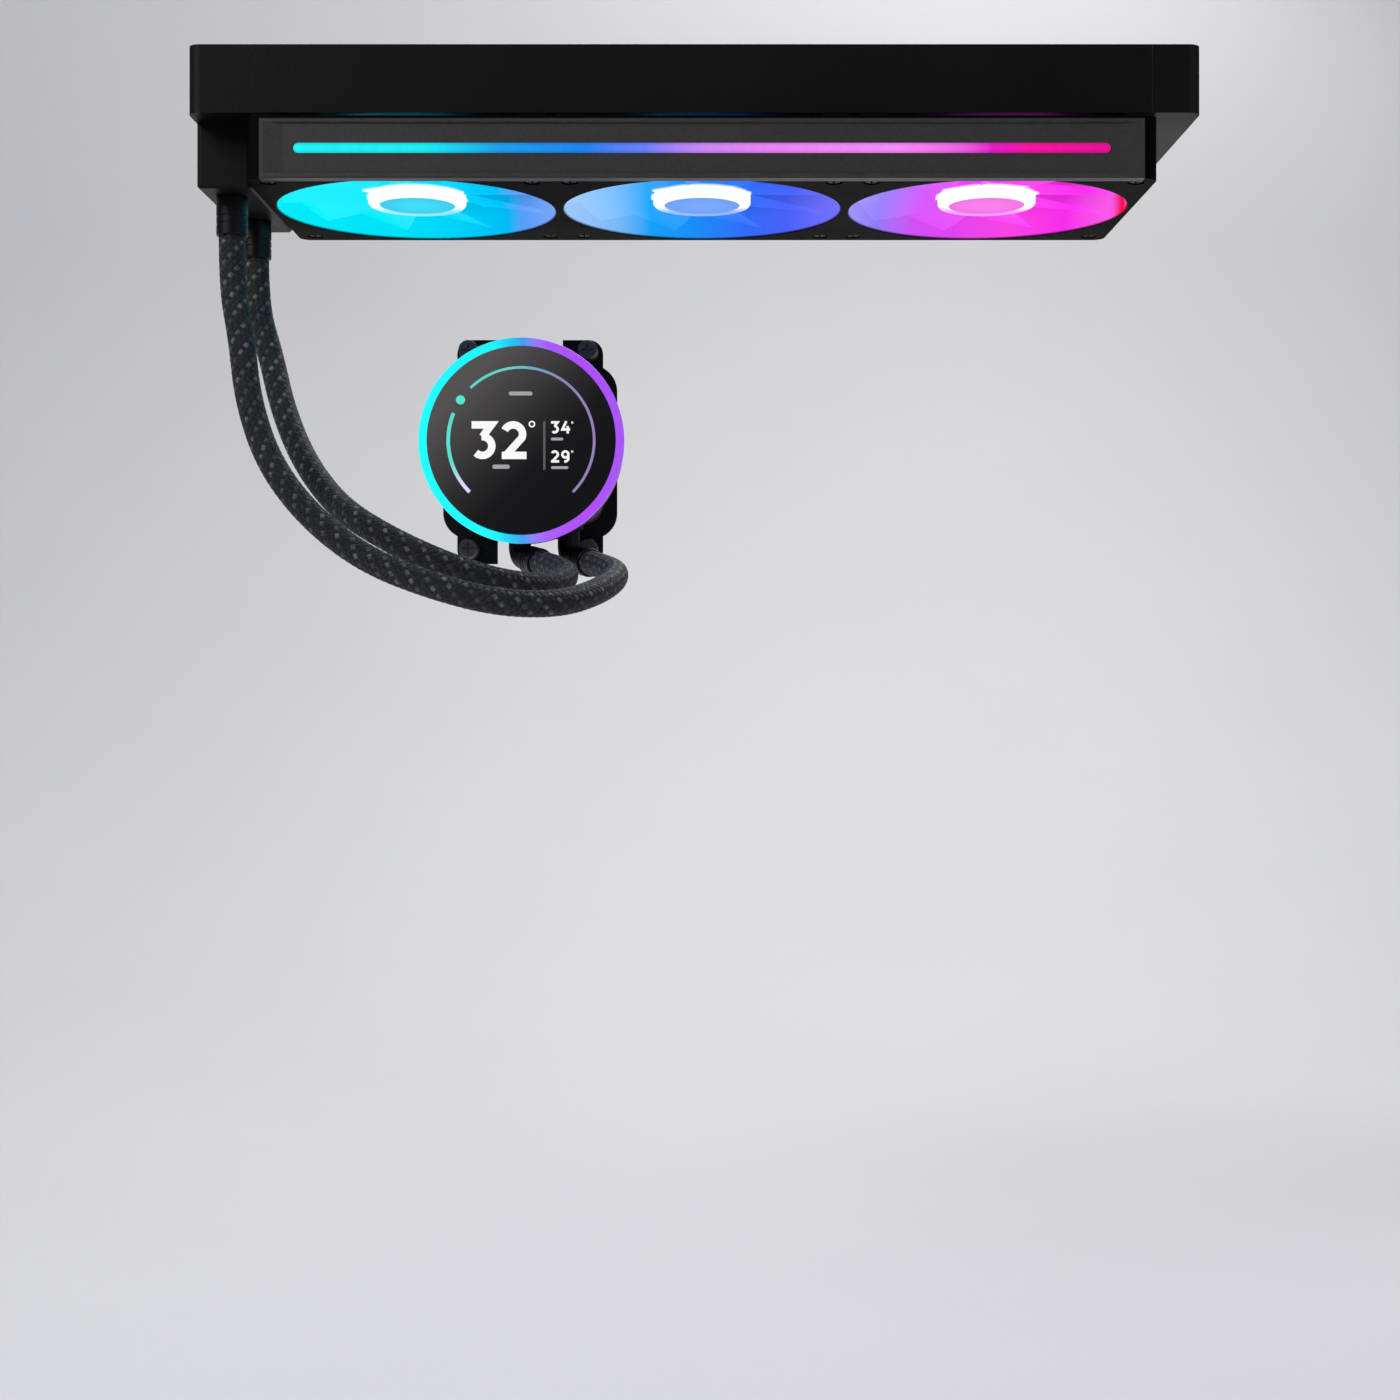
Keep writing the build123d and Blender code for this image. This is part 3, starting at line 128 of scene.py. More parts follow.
class Shader:
    """A Principled material, with short ways to add the nodes that feed it."""

    def __init__(self, name, colour, roughness, metallic=0.0, **sockets):
        self.material = bpy.data.materials.new(name)
        self.material.use_nodes = True
        self.tree = self.material.node_tree
        self.tree.nodes.clear()
        output = self.tree.nodes.new("ShaderNodeOutputMaterial")
        self.bsdf = self.tree.nodes.new("ShaderNodeBsdfPrincipled")
        self.tree.links.new(self.bsdf.outputs["BSDF"], output.inputs["Surface"])
        self.bsdf.inputs["Base Color"].default_value = colour
        self.bsdf.inputs["Roughness"].default_value = roughness
        self.bsdf.inputs["Metallic"].default_value = metallic
        for key, value in sockets.items():
            self.bsdf.inputs[key.replace("_", " ")].default_value = value

    def add(self, kind, inputs=None, **settings):
        """A node with its settings; an input is a number, a vector or another node's socket."""
        node = self.tree.nodes.new(kind)
        for key, value in settings.items():
            setattr(node, key, value)
        for key, value in (inputs or {}).items():
            if isinstance(value, bpy.types.NodeSocket):
                self.tree.links.new(value, node.inputs[key])
            else:
                node.inputs[key].default_value = value
        return node

    def feed(self, socket, value):
        self.tree.links.new(value, self.bsdf.inputs[socket])

    def place(self, scale=(1, 1, 1), offset=(0, 0, 0), still=False):
        """The point on the object, moved by offset and then scaled; still: in the room instead."""
        if still:
            here = self.add("ShaderNodeNewGeometry").outputs["Position"]
        else:
            here = self.add("ShaderNodeTexCoord").outputs["Object"]
        moved = self.add("ShaderNodeVectorMath", {0: here, 1: offset}, operation="ADD")
        scaled = self.add("ShaderNodeVectorMath", {0: moved.outputs[0], 1: scale},
                          operation="MULTIPLY")
        return scaled.outputs[0]

    def axis(self, letter, place=None):
        split = self.add("ShaderNodeSeparateXYZ", {0: place or self.place()})
        return split.outputs[letter]

    def noise(self, scale, detail=3.0, place=None):
        return self.add("ShaderNodeTexNoise", {
            "Vector": place or self.place(), "Scale": scale, "Detail": detail}).outputs["Fac"]

    def math(self, operation, first, second=0.0, clamp=False):
        node = self.add("ShaderNodeMath", {0: first, 1: second}, operation=operation)
        node.use_clamp = clamp
        return node.outputs[0]

    def span(self, value, low, high, to_low=0.0, to_high=1.0):
        """Map low..high to to_low..to_high, smoothly and no further."""
        return self.add("ShaderNodeMapRange", {
            "Value": value, "From Min": low, "From Max": high,
            "To Min": to_low, "To Max": to_high}, interpolation_type="SMOOTHSTEP").outputs[0]

    def ramp(self, value, stops):
        node = self.add("ShaderNodeValToRGB", {"Fac": value})
        elements = node.color_ramp.elements
        while len(elements) < len(stops):
            elements.new(1.0)
        for element, (position, colour) in zip(elements, stops):
            element.position = position
            element.color = colour
        return node.outputs["Color"]

    def mix(self, factor, first, second, blend="MIX"):
        node = self.add("ShaderNodeMix", {"Factor": factor}, data_type="RGBA", blend_type=blend)
        for socket, value in ((node.inputs[6], first), (node.inputs[7], second)):
            if isinstance(value, bpy.types.NodeSocket):
                self.tree.links.new(value, socket)
            else:
                socket.default_value = value
        return node.outputs[2]

    def bump(self, height, distance, edge=0.0):
        """Relief of that height in metres; edge rounds the look of sharp corners."""
        inputs = {"Height": height, "Distance": distance, "Strength": 1.0}
        if edge:
            inputs["Normal"] = self.add("ShaderNodeBevel", {"Radius": edge}, samples=4).outputs[0]
        self.feed("Normal", self.add("ShaderNodeBump", inputs).outputs[0])

    def grey(self, value):
        """A grey colour of that value."""
        return self.add("ShaderNodeCombineColor", {0: value, 1: value, 2: value}).outputs[0]

    def shaded(self, colour, share):
        """A colour times a number."""
        return self.mix(1.0, colour, self.grey(share), "MULTIPLY")

    def length(self, place):
        """How far a point is from the origin."""
        return self.add("ShaderNodeVectorMath", {0: place}, operation="LENGTH").outputs["Value"]

    def rub(self, colour, worn, width=0.0005):
        """Base colour that is a little lighter along rubbed edges."""
        rounded = self.add("ShaderNodeBevel", {"Radius": width}, samples=4).outputs[0]
        here = self.add("ShaderNodeNewGeometry").outputs["Normal"]
        match = self.add("ShaderNodeVectorMath", {0: rounded, 1: here}, operation="DOT_PRODUCT")
        edges = self.span(match.outputs["Value"], 0.985, 0.80, 0.0, 0.55)
        patchy = self.math("MULTIPLY", edges, self.span(self.noise(120), 0.30, 0.65))
        self.feed("Base Color", self.mix(patchy, colour, worn))


def dimmed(colour, share):
    return tuple(share * part for part in colour[:3]) + (1.0,)


PLASTIC_RELIEF = 0.04 * MM


def moulded_plastic(name, colour, worn, roughness, gloss=0.3, grain=1400.0):
    """Textured plastic: fine spark-eroded grain, faint clouding and rubbed edges."""
    made = Shader(name, colour, roughness, Specular_IOR_Level=gloss)
    speckle = made.span(made.noise(grain / 2, 2), 0.3, 0.7)
    made.rub(made.mix(speckle, dimmed(colour, 0.82), colour), worn)
    cloud = made.noise(18, 5)
    made.feed("Roughness", made.span(cloud, 0.3, 0.7, roughness - 0.04, roughness + 0.04))
    made.bump(made.noise(grain, 2), PLASTIC_RELIEF, edge=0.0003)
    return made


def powder_coat(name, colour, worn, roughness=0.45):
    """Baked coating with a fine orange peel."""
    made = Shader(name, colour, roughness, Specular_IOR_Level=0.1)
    peel = made.add("ShaderNodeTexVoronoi", {"Vector": made.place(), "Scale": 900.0})
    made.rub(made.mix(peel.outputs["Distance"], dimmed(colour, 0.85), colour), worn)
    cloud = made.noise(12, 5)
    made.feed("Roughness", made.span(cloud, 0.3, 0.7, roughness - 0.05, roughness + 0.05))
    made.bump(peel.outputs["Distance"], 0.00003, edge=0.0004)
    return made.material


def bare_metal(name, colour, roughness, grain=(60, 60, 2400), relief=0.00001):
    """Drawn or machined metal, with fine lines along one direction."""
    made = Shader(name, colour, roughness, metallic=1.0)
    lines = made.noise(1.0, 2, made.place(scale=grain))
    tarnish = made.span(made.noise(60, 4), 0.35, 0.7)
    made.feed("Base Color", made.mix(tarnish, colour, dimmed(colour, 0.7)))
    made.feed("Roughness", made.span(lines, 0.2, 0.8, roughness - 0.1, roughness + 0.12))
    made.bump(lines, relief, edge=0.0002)
    return made.material


THREAD_PITCH = 0.7 * MM
THREAD_START = 90.5 * MM


def threaded_metal(name, colour, roughness):
    """Blackened steel, with a cut thread on the end past THREAD_START along Y."""
    made = Shader(name, colour, roughness, metallic=1.0)
    lines = made.noise(1.0, 2, made.place(scale=(60, 3000, 60)))
    made.feed("Roughness", made.span(lines, 0.2, 0.8, roughness - 0.08, roughness + 0.12))
    made.rub(colour, srgb(170, 170, 174), width=0.0003)
    along = made.axis("Y")
    ridge = made.math("PINGPONG", along, THREAD_PITCH / 2)
    thread = made.math("MULTIPLY", ridge, made.span(along, THREAD_START, THREAD_START + MM))
    made.bump(thread, 1.0)
    return made.material


def soft_rubber(name):
    made = Shader(name, srgb(22, 22, 23), 0.8)
    cloud = made.noise(300, 3)
    made.feed("Base Color", made.mix(cloud, srgb(16, 16, 17), srgb(34, 34, 36)))
    made.bump(made.noise(2500, 2), 0.00005, edge=0.0004)
    return made.material


def circuit_board(name):
    """Dark solder mask with copper tracks showing faintly through it."""
    made = Shader(name, srgb(10, 28, 20), 0.35)
    tracks = made.add("ShaderNodeTexBrick", {
        "Vector": made.place(), "Scale": 260.0, "Mortar Size": 0.03,
        "Color1": srgb(8, 30, 20), "Color2": srgb(10, 38, 26), "Mortar": srgb(60, 90, 50)})
    made.feed("Base Color", tracks.outputs["Color"])
    made.bump(tracks.outputs["Fac"], 0.00003)
    return made.material


def lamp_face(name):
    """The pale window of an unlit lamp, with a bright dot under it."""
    made = Shader(name, srgb(235, 232, 215), 0.3, Emission_Strength=0.4)
    dots = made.add("ShaderNodeTexVoronoi", {"Vector": made.place(), "Scale": 500.0})
    made.feed("Base Color", made.ramp(dots.outputs["Distance"], [
        (0.0, srgb(250, 240, 190)), (0.5, srgb(225, 224, 215))]))
    made.feed("Emission Color", made.ramp(dots.outputs["Distance"], [
        (0.0, srgb(255, 250, 230)), (0.4, srgb(30, 30, 30))]))
    return made.material


STRIP_STOPS = [
    (-157, (18, 242, 244)), (-110, (16, 235, 240)), (-80, (14, 158, 232)),
    (-45, (22, 128, 240)), (-22, (105, 125, 250)), (0, (202, 134, 245)),
    (30, (236, 130, 244)), (76, (247, 138, 246)), (100, (238, 98, 226)),
    (114, (224, 16, 196)), (128, (242, 6, 158)), (157, (228, 0, 150)),
]
FAN_STOPS = {
    1: [(-1.0, (0, 240, 255)), (-0.3, (0, 232, 255)), (0.25, (0, 212, 255)),
        (0.6, (0, 190, 255)), (0.72, (90, 160, 255)), (1.0, (125, 170, 255))],
    2: [(-1.0, (165, 205, 255)), (-0.65, (125, 190, 255)), (-0.4, (20, 165, 255)),
        (0.0, (30, 140, 255)), (0.35, (50, 110, 255)), (0.65, (75, 100, 255)),
        (1.0, (120, 115, 255))],
    3: [(-1.0, (165, 155, 255)), (-0.75, (150, 125, 255)), (-0.45, (212, 84, 251)),
        (-0.15, (230, 70, 245)), (0.3, (255, 70, 235)), (0.7, (255, 45, 240)),
        (1.0, (255, 95, 240))],
}
CAP_COLOURS = {1: (5, 214, 246), 2: (104, 161, 252), 3: (250, 110, 235)}
DUCT_EDGE_PAINTED_GLOW = (255, 0, 70)      # painted red glow where the last duct ends
PAINTED_GLOW_RADII = (1.018, 1.002)           # in duct radii: the painted glow fades in over the duct's edge
PAINTED_GLOW_HEIGHTS = (-0.034, -0.046)   # and the painted glow grows from the first height to the second
STRIP_Z = -42.2 * MM


def gradient(made, value, stops):
    """Screen colours along value, whose range the stops give."""
    low, high = stops[0][0], stops[-1][0]
    share = made.math("DIVIDE", made.math("SUBTRACT", value, low), high - low)
    return made.ramp(share, [((at - low) / (high - low), srgb(*colour)) for at, colour in stops])


def frame_plastic():
    """The fan unit's black plastic; inside the ducts it carries a painted glow in the fans'
    colours, standing in for the blades' light.
    """
    made = moulded_plastic("frame_plastic", srgb(5, 5, 6), srgb(20, 20, 22), 0.65, gloss=0.03)
    stops = [(FAN_X[number] / DUCT_R + at, colour)
             for number in sorted(FAN_STOPS) for at, colour in FAN_STOPS[number]]
    # painted light: a red glow at the far end of the last duct
    stops[-1] = (stops[-1][0], DUCT_EDGE_PAINTED_GLOW)
    stops.insert(-1, (stops[-1][0] - 0.03, FAN_STOPS[3][-1][1]))
    split = made.add("ShaderNodeSeparateXYZ", {0: made.place(scale=(1 / DUCT_R,) * 3)})
    colour = gradient(made, split.outputs["X"], stops)
    pitch = FAN_X[3] / DUCT_R
    local = made.add("ShaderNodeMath", {0: split.outputs["X"], 1: pitch / 2, 2: -pitch / 2},
                     operation="WRAP").outputs[0]
    flat = made.add("ShaderNodeCombineXYZ", {0: local, 1: split.outputs["Y"]})
    radius = made.length(flat.outputs[0])
    # painted light: inside each duct the frame plastic glows in its fan's colours, brighter lower
    # down
    inside = made.span(radius, *PAINTED_GLOW_RADII)
    height = made.math("MULTIPLY", split.outputs["Z"], DUCT_R)
    lit = made.span(height, *PAINTED_GLOW_HEIGHTS, 0.72, 0.94)
    made.feed("Emission Color", made.shaded(colour, made.math("MULTIPLY", inside, lit)))
    made.bsdf.inputs["Emission Strength"].default_value = 1.0
    return made.material


def strip_light():
    """Milky diffuser: the colour runs along it, a little brighter on its centre line."""
    made = Shader("strip_light", srgb(20, 20, 21), 0.5, Emission_Strength=1.0,
                  Specular_IOR_Level=0.08)
    place = made.place(scale=(1000, 1000, 1000), offset=(0, 0, -STRIP_Z))
    colour = gradient(made, made.axis("X", place), STRIP_STOPS)
    across = made.math("ABSOLUTE", made.axis("Z", place))
    soft = made.span(across, 0.2, 2.2, 1.0, 0.72)
    cells = made.span(made.noise(400, 3), 0.3, 0.7, 0.94, 1.0)
    shade = made.math("MULTIPLY", soft, cells)
    made.feed("Emission Color", made.shaded(colour, shade))
    made.feed("Base Color", made.mix(0.06, srgb(16, 16, 17), colour))
    made.bump(made.noise(3000, 2), 0.00001)
    return made.material


# The white light on each hub, and its painted spill over the blades; heights in metres, reaches in
# duct radii from the fan's centre.
WHITE_TOP = (-0.0455, -0.0468)        # nothing above the first, full below the second
WHITE_FAR = (0.24, -0.02)             # faint behind the first, full before the second
PAINTED_SPILL_FRONT = (-0.51, -0.48)          # on the blades: where the painted spill of white begins before the hub
PAINTED_SPILL_BACK = (-0.02, -0.12)           # and where it ends
LIGHT_SLOPE = 0.26                    # how the white sinks away from the hub, as painted light falling off along the blades
PAINTED_BLADE_SHADE_HEIGHTS = (-0.049, -0.038)         # painted shade: the blades' glow dims a little from the first height to the second


def fan_light(number):
    """Frosted blades in the fan's run of colour; the hub's front and near side glow white.

    Painted light: the white spills a little over the blades before the hub. The lamps are fixed
    to the frame, so the colours stay where they are while the blades turn.
    """
    made = Shader(f"fan_{number}_light", srgb(24, 24, 27), 0.5, Emission_Strength=1.0,
                  Specular_IOR_Level=0.08)
    place = made.place(scale=(1 / DUCT_R,) * 3, offset=(-FAN_X[number], 0, 0), still=True)
    split = made.add("ShaderNodeSeparateXYZ", {0: place})
    colour = gradient(made, split.outputs["X"], FAN_STOPS[number])
    flat = made.add("ShaderNodeCombineXYZ", {0: split.outputs["X"], 1: split.outputs["Y"]})
    radius = made.length(flat.outputs[0])
    hub = HUB_R / DUCT_R
    height = made.math("MULTIPLY", split.outputs["Z"], DUCT_R)
    beyond = made.math("MAXIMUM", made.math("SUBTRACT", radius, hub), 0.0)
    risen = made.math("ADD", height, made.math("MULTIPLY", beyond, LIGHT_SLOPE * DUCT_R))
    front = made.span(risen, *WHITE_TOP)
    near = made.span(split.outputs["Y"], *WHITE_FAR, 0.25, 1.0)
    on_hub = made.math("MULTIPLY", made.span(radius, hub + 0.02, hub + 0.01), near)
    # painted light: white from the hub's lamps spilling onto the blades just before the hub
    aside = made.math("ABSOLUTE", split.outputs["X"])
    before = made.math("MULTIPLY", made.span(aside, hub + 0.01, hub - 0.01),
                       made.span(split.outputs["Y"], *PAINTED_SPILL_FRONT))
    painted_spill = made.math("MULTIPLY", before, made.span(split.outputs["Y"], *PAINTED_SPILL_BACK))
    # the hub's own white light, together with its painted spill over the blades
    white = made.math("MULTIPLY", made.math("MAXIMUM", on_hub, painted_spill), front)
    lit = made.mix(white, colour, srgb(250, 253, 255))
    # painted shade: each blade's glow a little darker towards its top, to give it form
    depth = made.span(height, *PAINTED_BLADE_SHADE_HEIGHTS, 1.0, 0.94)
    cloud = made.span(made.noise(55, 3), 0.25, 0.75, 0.98, 1.0)
    shade = made.math("MULTIPLY", depth, cloud)
    made.feed("Emission Color", made.shaded(lit, shade))
    made.feed("Base Color", made.mix(0.08, srgb(18, 18, 20), lit))
    made.bump(made.noise(2200, 2), 0.00001, edge=0.0003)
    return made.material


def hub_cap_light(number):
    """Smoky round cap with the fan's colour behind it, darker to its rim."""
    made = Shader(f"fan_{number}_cap_light", srgb(10, 11, 14), 0.45, Emission_Strength=1.0,
                  Specular_IOR_Level=0.08)
    place = made.place(scale=(1000, 1000, 0), offset=(-FAN_X[number], 0, 0))
    radius = made.length(place)
    bright = srgb(*CAP_COLOURS[number])
    made.feed("Emission Color", made.ramp(made.span(radius, 2.0, 16.0), [
        (0, bright), (1, dimmed(bright, 0.86))]))
    made.bump(made.noise(1500, 2), 0.000004)
    return made.material


def ring_light():
    """The ring round the display: cyan on the left, violet on the right."""
    made = Shader("ring_light", srgb(60, 60, 64), 0.4, Emission_Strength=1.0,
                  Specular_IOR_Level=0.2)
    across = made.axis("X", made.place(scale=(1000,) * 3, offset=(-PUMP_X, 0, 0)))
    colour = gradient(made, across, [
        (-45, (14, 244, 244)), (-12, (16, 236, 244)), (-4, (24, 190, 232)),
        (1, (60, 150, 230)), (6, (140, 118, 245)), (12, (165, 85, 252)),
        (28, (168, 70, 250)), (45, (158, 80, 228))])
    made.feed("Emission Color", colour)
    made.feed("Base Color", made.mix(0.15, srgb(30, 30, 33), colour))
    made.bump(made.noise(1800, 2), 0.000006)
    return made.material


def display_light(name, colour, strength=1.2):
    """A lit picture element; a fine grid dims it between its points."""
    made = Shader(name, srgb(10, 10, 10), 0.4, Emission_Strength=strength)
    grid = made.add("ShaderNodeTexBrick", {
        "Vector": made.place(), "Scale": 5000.0, "Mortar Size": 0.004, "Color1": colour,
        "Color2": colour, "Mortar": dimmed(colour, 0.85)})
    made.feed("Emission Color", grid.outputs["Color"])
    return made.material


def gauge_light():
    """The gauge's run of colour: teal on the left and top, violet grey on the right."""
    made = Shader("gauge_light", srgb(10, 10, 10), 0.4, Emission_Strength=1.15)
    place = made.place(scale=(1000,) * 3, offset=(-PUMP_X, 0, -PUMP_Z))
    across = made.axis("X", place)
    colour = gradient(made, across, [
        (-34, (84, 214, 210)), (-26, (70, 205, 185)), (-5, (96, 196, 190)),
        (8, (110, 150, 180)), (18, (136, 120, 168)), (34, (142, 118, 176))])
    low = made.span(made.axis("Z", place), -8.0, -22.0)
    left = made.span(across, -10.0, -18.0)
    made.feed("Emission Color", made.mix(made.math("MULTIPLY", low, left), colour,
                                         srgb(214, 204, 248)))
    return made.material


def screen_glass():
    made = Shader("screen_glass", srgb(252, 253, 254), 0.02, Transmission_Weight=1.0, IOR=1.5,
                  Specular_IOR_Level=0.3)
    smudge = made.span(made.noise(35, 5), 0.45, 0.8, 0.01, 0.06)
    made.feed("Roughness", smudge)
    return made.material


def screen_panel():
    """The dark display panel, with a painted reflection: a grey sheen that glows towards its upper
    left.
    """
    made = Shader("screen_panel", srgb(6, 6, 7), 0.35, Emission_Strength=1.0)
    place = made.place(scale=(1000,) * 3, offset=(-PUMP_X, 0, -PUMP_Z))
    split = made.add("ShaderNodeSeparateXYZ", {0: place})
    # painted reflection: emission grey at the upper left, fading to black at the lower right, in
    # place of the glass's sheen
    painted_sheen_slope = made.math("SUBTRACT", split.outputs["Z"], split.outputs["X"])
    share = made.math("DIVIDE", made.math("ADD", painted_sheen_slope, 45.0), 95.0, clamp=True)
    made.feed("Emission Color", made.ramp(share, [
        (0.0, srgb(0, 0, 1)), (0.3, srgb(9, 8, 10)), (0.5, srgb(34, 33, 34)),
        (0.8, srgb(66, 63, 63)), (1.0, srgb(82, 79, 78))]))
    made.feed("Base Color", made.mix(made.noise(500, 2), srgb(4, 4, 5), srgb(9, 9, 10)))
    return made.material


def hose_yarn(name, dark, light):
    """Bundled nylon yarn: fine filaments along each strand, with a soft sheen."""
    made = Shader(name, dark, 0.6, Sheen_Weight=0.08, Sheen_Roughness=0.4,
                  Specular_IOR_Level=0.3)
    along = made.add("ShaderNodeUVMap", uv_map="strand").outputs[0]
    wave = made.add("ShaderNodeTexWave", {
        "Vector": along, "Scale": 1.1, "Distortion": 0.8, "Detail": 2.0}, bands_direction="X")
    filaments = wave.outputs["Fac"]
    patches = made.span(made.noise(260, 3), 0.42, 0.66)
    tone = made.mix(patches, dark, light)
    made.feed("Base Color", made.mix(made.math("MULTIPLY", filaments, 0.45), tone,
                                     dimmed(dark, 0.35)))
    made.bump(filaments, 0.00006)
    return made.material


# --- hoses ---

def hose_core(name):
    """The hose as one smooth spline through its route's control points."""
    data = bpy.data.curves.new(name, "CURVE")
    data.dimensions = "3D"
    data.resolution_u = 16
    data.bevel_depth = 0.47 * HOSE_D
    data.bevel_resolution = 6
    data.use_fill_caps = True
    spline = data.splines.new("NURBS")
    route = ROUTES[name]
    spline.points.add(len(route) - 1)
    for point, place in zip(spline.points, route):
        point.co = (*place, 1.0)
    spline.order_u = 3
    spline.use_endpoint_u = True
    return link_object(name + "_core", data)


def spline_line(core):
    """The points of a hose's own spline, read from it with no bevel."""
    plain = core.copy()
    plain.data = core.data.copy()
    plain.data.bevel_depth = 0.0
    bpy.context.scene.collection.objects.link(plain)
    graph = bpy.context.evaluated_depsgraph_get()
    mesh = bpy.data.meshes.new_from_object(plain.evaluated_get(graph))
    points = np.array([vertex.co for vertex in mesh.vertices], float)
    bpy.data.objects.remove(plain)
    bpy.data.meshes.remove(mesh)
    return points


def even_points(points, step):
    """The same line with evenly spaced points, and how far along it each one is."""
    gaps = np.linalg.norm(np.diff(points, axis=0), axis=1)
    run = np.concatenate([[0.0], np.cumsum(gaps)])
    count = int(round(run[-1] / step)) + 1
    along = np.linspace(0.0, run[-1], count)
    return np.stack([np.interp(along, run, points[:, k]) for k in range(3)], axis=1), along


def carried_frames(line):
    """Two directions across the line at each point, carried along it without twist."""
    tangents = np.gradient(line, axis=0)
    tangents /= np.linalg.norm(tangents, axis=1)[:, None]
    side = np.cross(tangents[0], (0.0, 1.0, 0.0))
    sides = []
    for tangent in tangents:
        side = side - tangent * (side @ tangent)
        side = side / np.linalg.norm(side)
        sides.append(side)
    sides = np.array(sides)
    return tangents, sides, np.cross(tangents, sides)


BRAID_STRANDS = 12           # in each direction
FLECK_STEP = 3               # every third strand of one direction is a lighter yarn
BRAID_PITCH = 34 * MM        # one strand's full turn
BRAID_R = 5.17 * MM
BRAID_WEAVE = 0.16 * MM      # how far a strand rises and dips at its crossings
STRAND_HALF_WIDTH = 0.94 * MM
STRAND_RISE = 0.15 * MM
STRAND_SECTION = ((-1.0, -0.25), (-0.6, 0.7), (0.0, 1.0), (0.6, 0.7), (1.0, -0.25), (0.0, -0.6))


def braid(name, core, parity, strands, material):
    """Strands of the sleeve that turn one way, weaving over and under the others."""
    line, along = even_points(spline_line(core), BRAID_PITCH / BRAID_STRANDS / 6)
    tangents, sides, ups = carried_frames(line)
    turn = 2 * math.pi / BRAID_PITCH
    points, faces, uvs = [], [], []
    corners = len(STRAND_SECTION)
    for strand in strands:
        angle = 2 * math.pi * strand / BRAID_STRANDS + parity * turn * along
        weave = parity * BRAID_WEAVE * np.cos(BRAID_STRANDS * turn * along)
        radial = sides * np.cos(angle)[:, None] + ups * np.sin(angle)[:, None]
        round_way = ups * np.cos(angle)[:, None] - sides * np.sin(angle)[:, None]
        heading = tangents + round_way * (parity * turn * BRAID_R)
        heading /= np.linalg.norm(heading, axis=1)[:, None]
        across = np.cross(radial, heading)
        centre = line + radial * (BRAID_R + weave)[:, None]
        base = len(points)
        rows = [centre + across * (STRAND_HALF_WIDTH * w) + radial * (STRAND_RISE * h)
                for w, h in STRAND_SECTION]
        points.extend(np.stack(rows, axis=1).reshape(-1, 3))
        for step in range(len(line) - 1):
            first = base + step * corners
            for corner in range(corners):
                follow = (corner + 1) % corners
                faces.append((first + corner, first + follow,
                              first + corners + follow, first + corners + corner))
                uvs.append((corner, corner + 1, along[step], along[step + 1]))
        faces.append(tuple(range(base, base + corners)))
        last = base + (len(line) - 1) * corners
        faces.append(tuple(range(last + corners - 1, last - 1, -1)))
    made = mesh_object(name, points, faces, smooth=True)
    add_strand_uvs(made.data, uvs)
    dress(made, material)
    return made


UV_PER_METRE = 100


def add_strand_uvs(mesh, uvs):
    """U runs across each strand and V along it, for the yarn's filaments."""
    layer = mesh.uv_layers.new(name="strand")
    values = np.zeros((len(mesh.loops), 2), np.float32)
    sides = iter(uvs)
    for polygon in mesh.polygons:
        if polygon.loop_total != 4:
            continue
        near, far, low, high = next(sides)
        low, high = low * UV_PER_METRE, high * UV_PER_METRE
        start = polygon.loop_start
        values[start:start + 4] = [(near, low), (far, low), (far, high), (near, high)]
    layer.data.foreach_set("uv", values.ravel())


def make_hoses():
    black = hose_yarn("yarn_black", srgb(12, 13, 17), srgb(24, 28, 36))
    fleck = hose_yarn("yarn_fleck", srgb(52, 60, 62), srgb(108, 116, 108))
    every = range(BRAID_STRANDS)
    light = every[::FLECK_STEP]
    dark = [strand for strand in every if strand not in light]
    liner = soft_rubber("hose_liner")
    for name, route in ROUTES.items():
        core = hose_core(name)
        dress(core, liner)
        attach(core, ROOT)
        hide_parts(name)
        sleeve = [
            braid(name + "_braid_left", core, -1, every, black),
            braid(name + "_braid_right", core, 1, dark, black),
            braid(name + "_braid_flecks", core, 1, light, fleck),
        ]
        for piece in sleeve:
            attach(piece, ROOT)
        line = spline_line(core)


make_hoses()


# --- display ---

SCREEN_Y = 33.05 * MM
SCREEN_DEPTH = 0.12 * MM


def screen_point(x, z, depth=0.0):
    """A point on the display, from millimetres right of and above its centre."""
    return (PUMP_X + x * MM, SCREEN_Y + depth, PUMP_Z + z * MM)


def ribbon(points, width):
    """The outline of a stroke with square ends and mitred corners."""
    points = [Vector(point) for point in points]
    left, right = [], []
    for index, point in enumerate(points):
        before = (point - points[index - 1]).normalized() if index else None
        after = (points[index + 1] - point).normalized() if index + 1 < len(points) else None
        before = before or after
        after = after or before
        normal = Vector((-(before.y + after.y), before.x + after.x))
        offset = normal * (width / 2 / (1 + before.dot(after)))
        left.append(point + offset)
        right.append(point - offset)
    return left, right


def stroke_mesh(name, strokes, material):
    """Raised strokes on the display; each is (points, width) in millimetres."""
    points, faces = [], []
    for line, width in strokes:
        left, right = ribbon(line, width)
        base = len(points)
        for near, far in zip(left, right):
            for depth in (0.0, SCREEN_DEPTH):
                points.append(screen_point(near.x, near.y, depth))
                points.append(screen_point(far.x, far.y, depth))
        for step in range(len(line) - 1):
            a = base + 4 * step
            b = a + 4
            faces += [(a, a + 1, b + 1, b), (a + 2, b + 2, b + 3, a + 3),
                      (a, b, b + 2, a + 2), (a + 1, a + 3, b + 3, b + 1)]
        end = base + 4 * (len(line) - 1)
        faces += [(base, base + 2, base + 3, base + 1), (end, end + 1, end + 3, end + 2)]
    made = mesh_object(name, points, faces)
    dress(made, material)
    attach(made, ROOT)
    return made


def arc(centre, radius, start, stop, steps=20):
    """Points on an arc; angles in degrees, anticlockwise from the right."""
    angles = [math.radians(start + (stop - start) * step / steps) for step in range(steps + 1)]
    return [(centre[0] + radius * math.cos(a), centre[1] + radius * math.sin(a)) for a in angles]


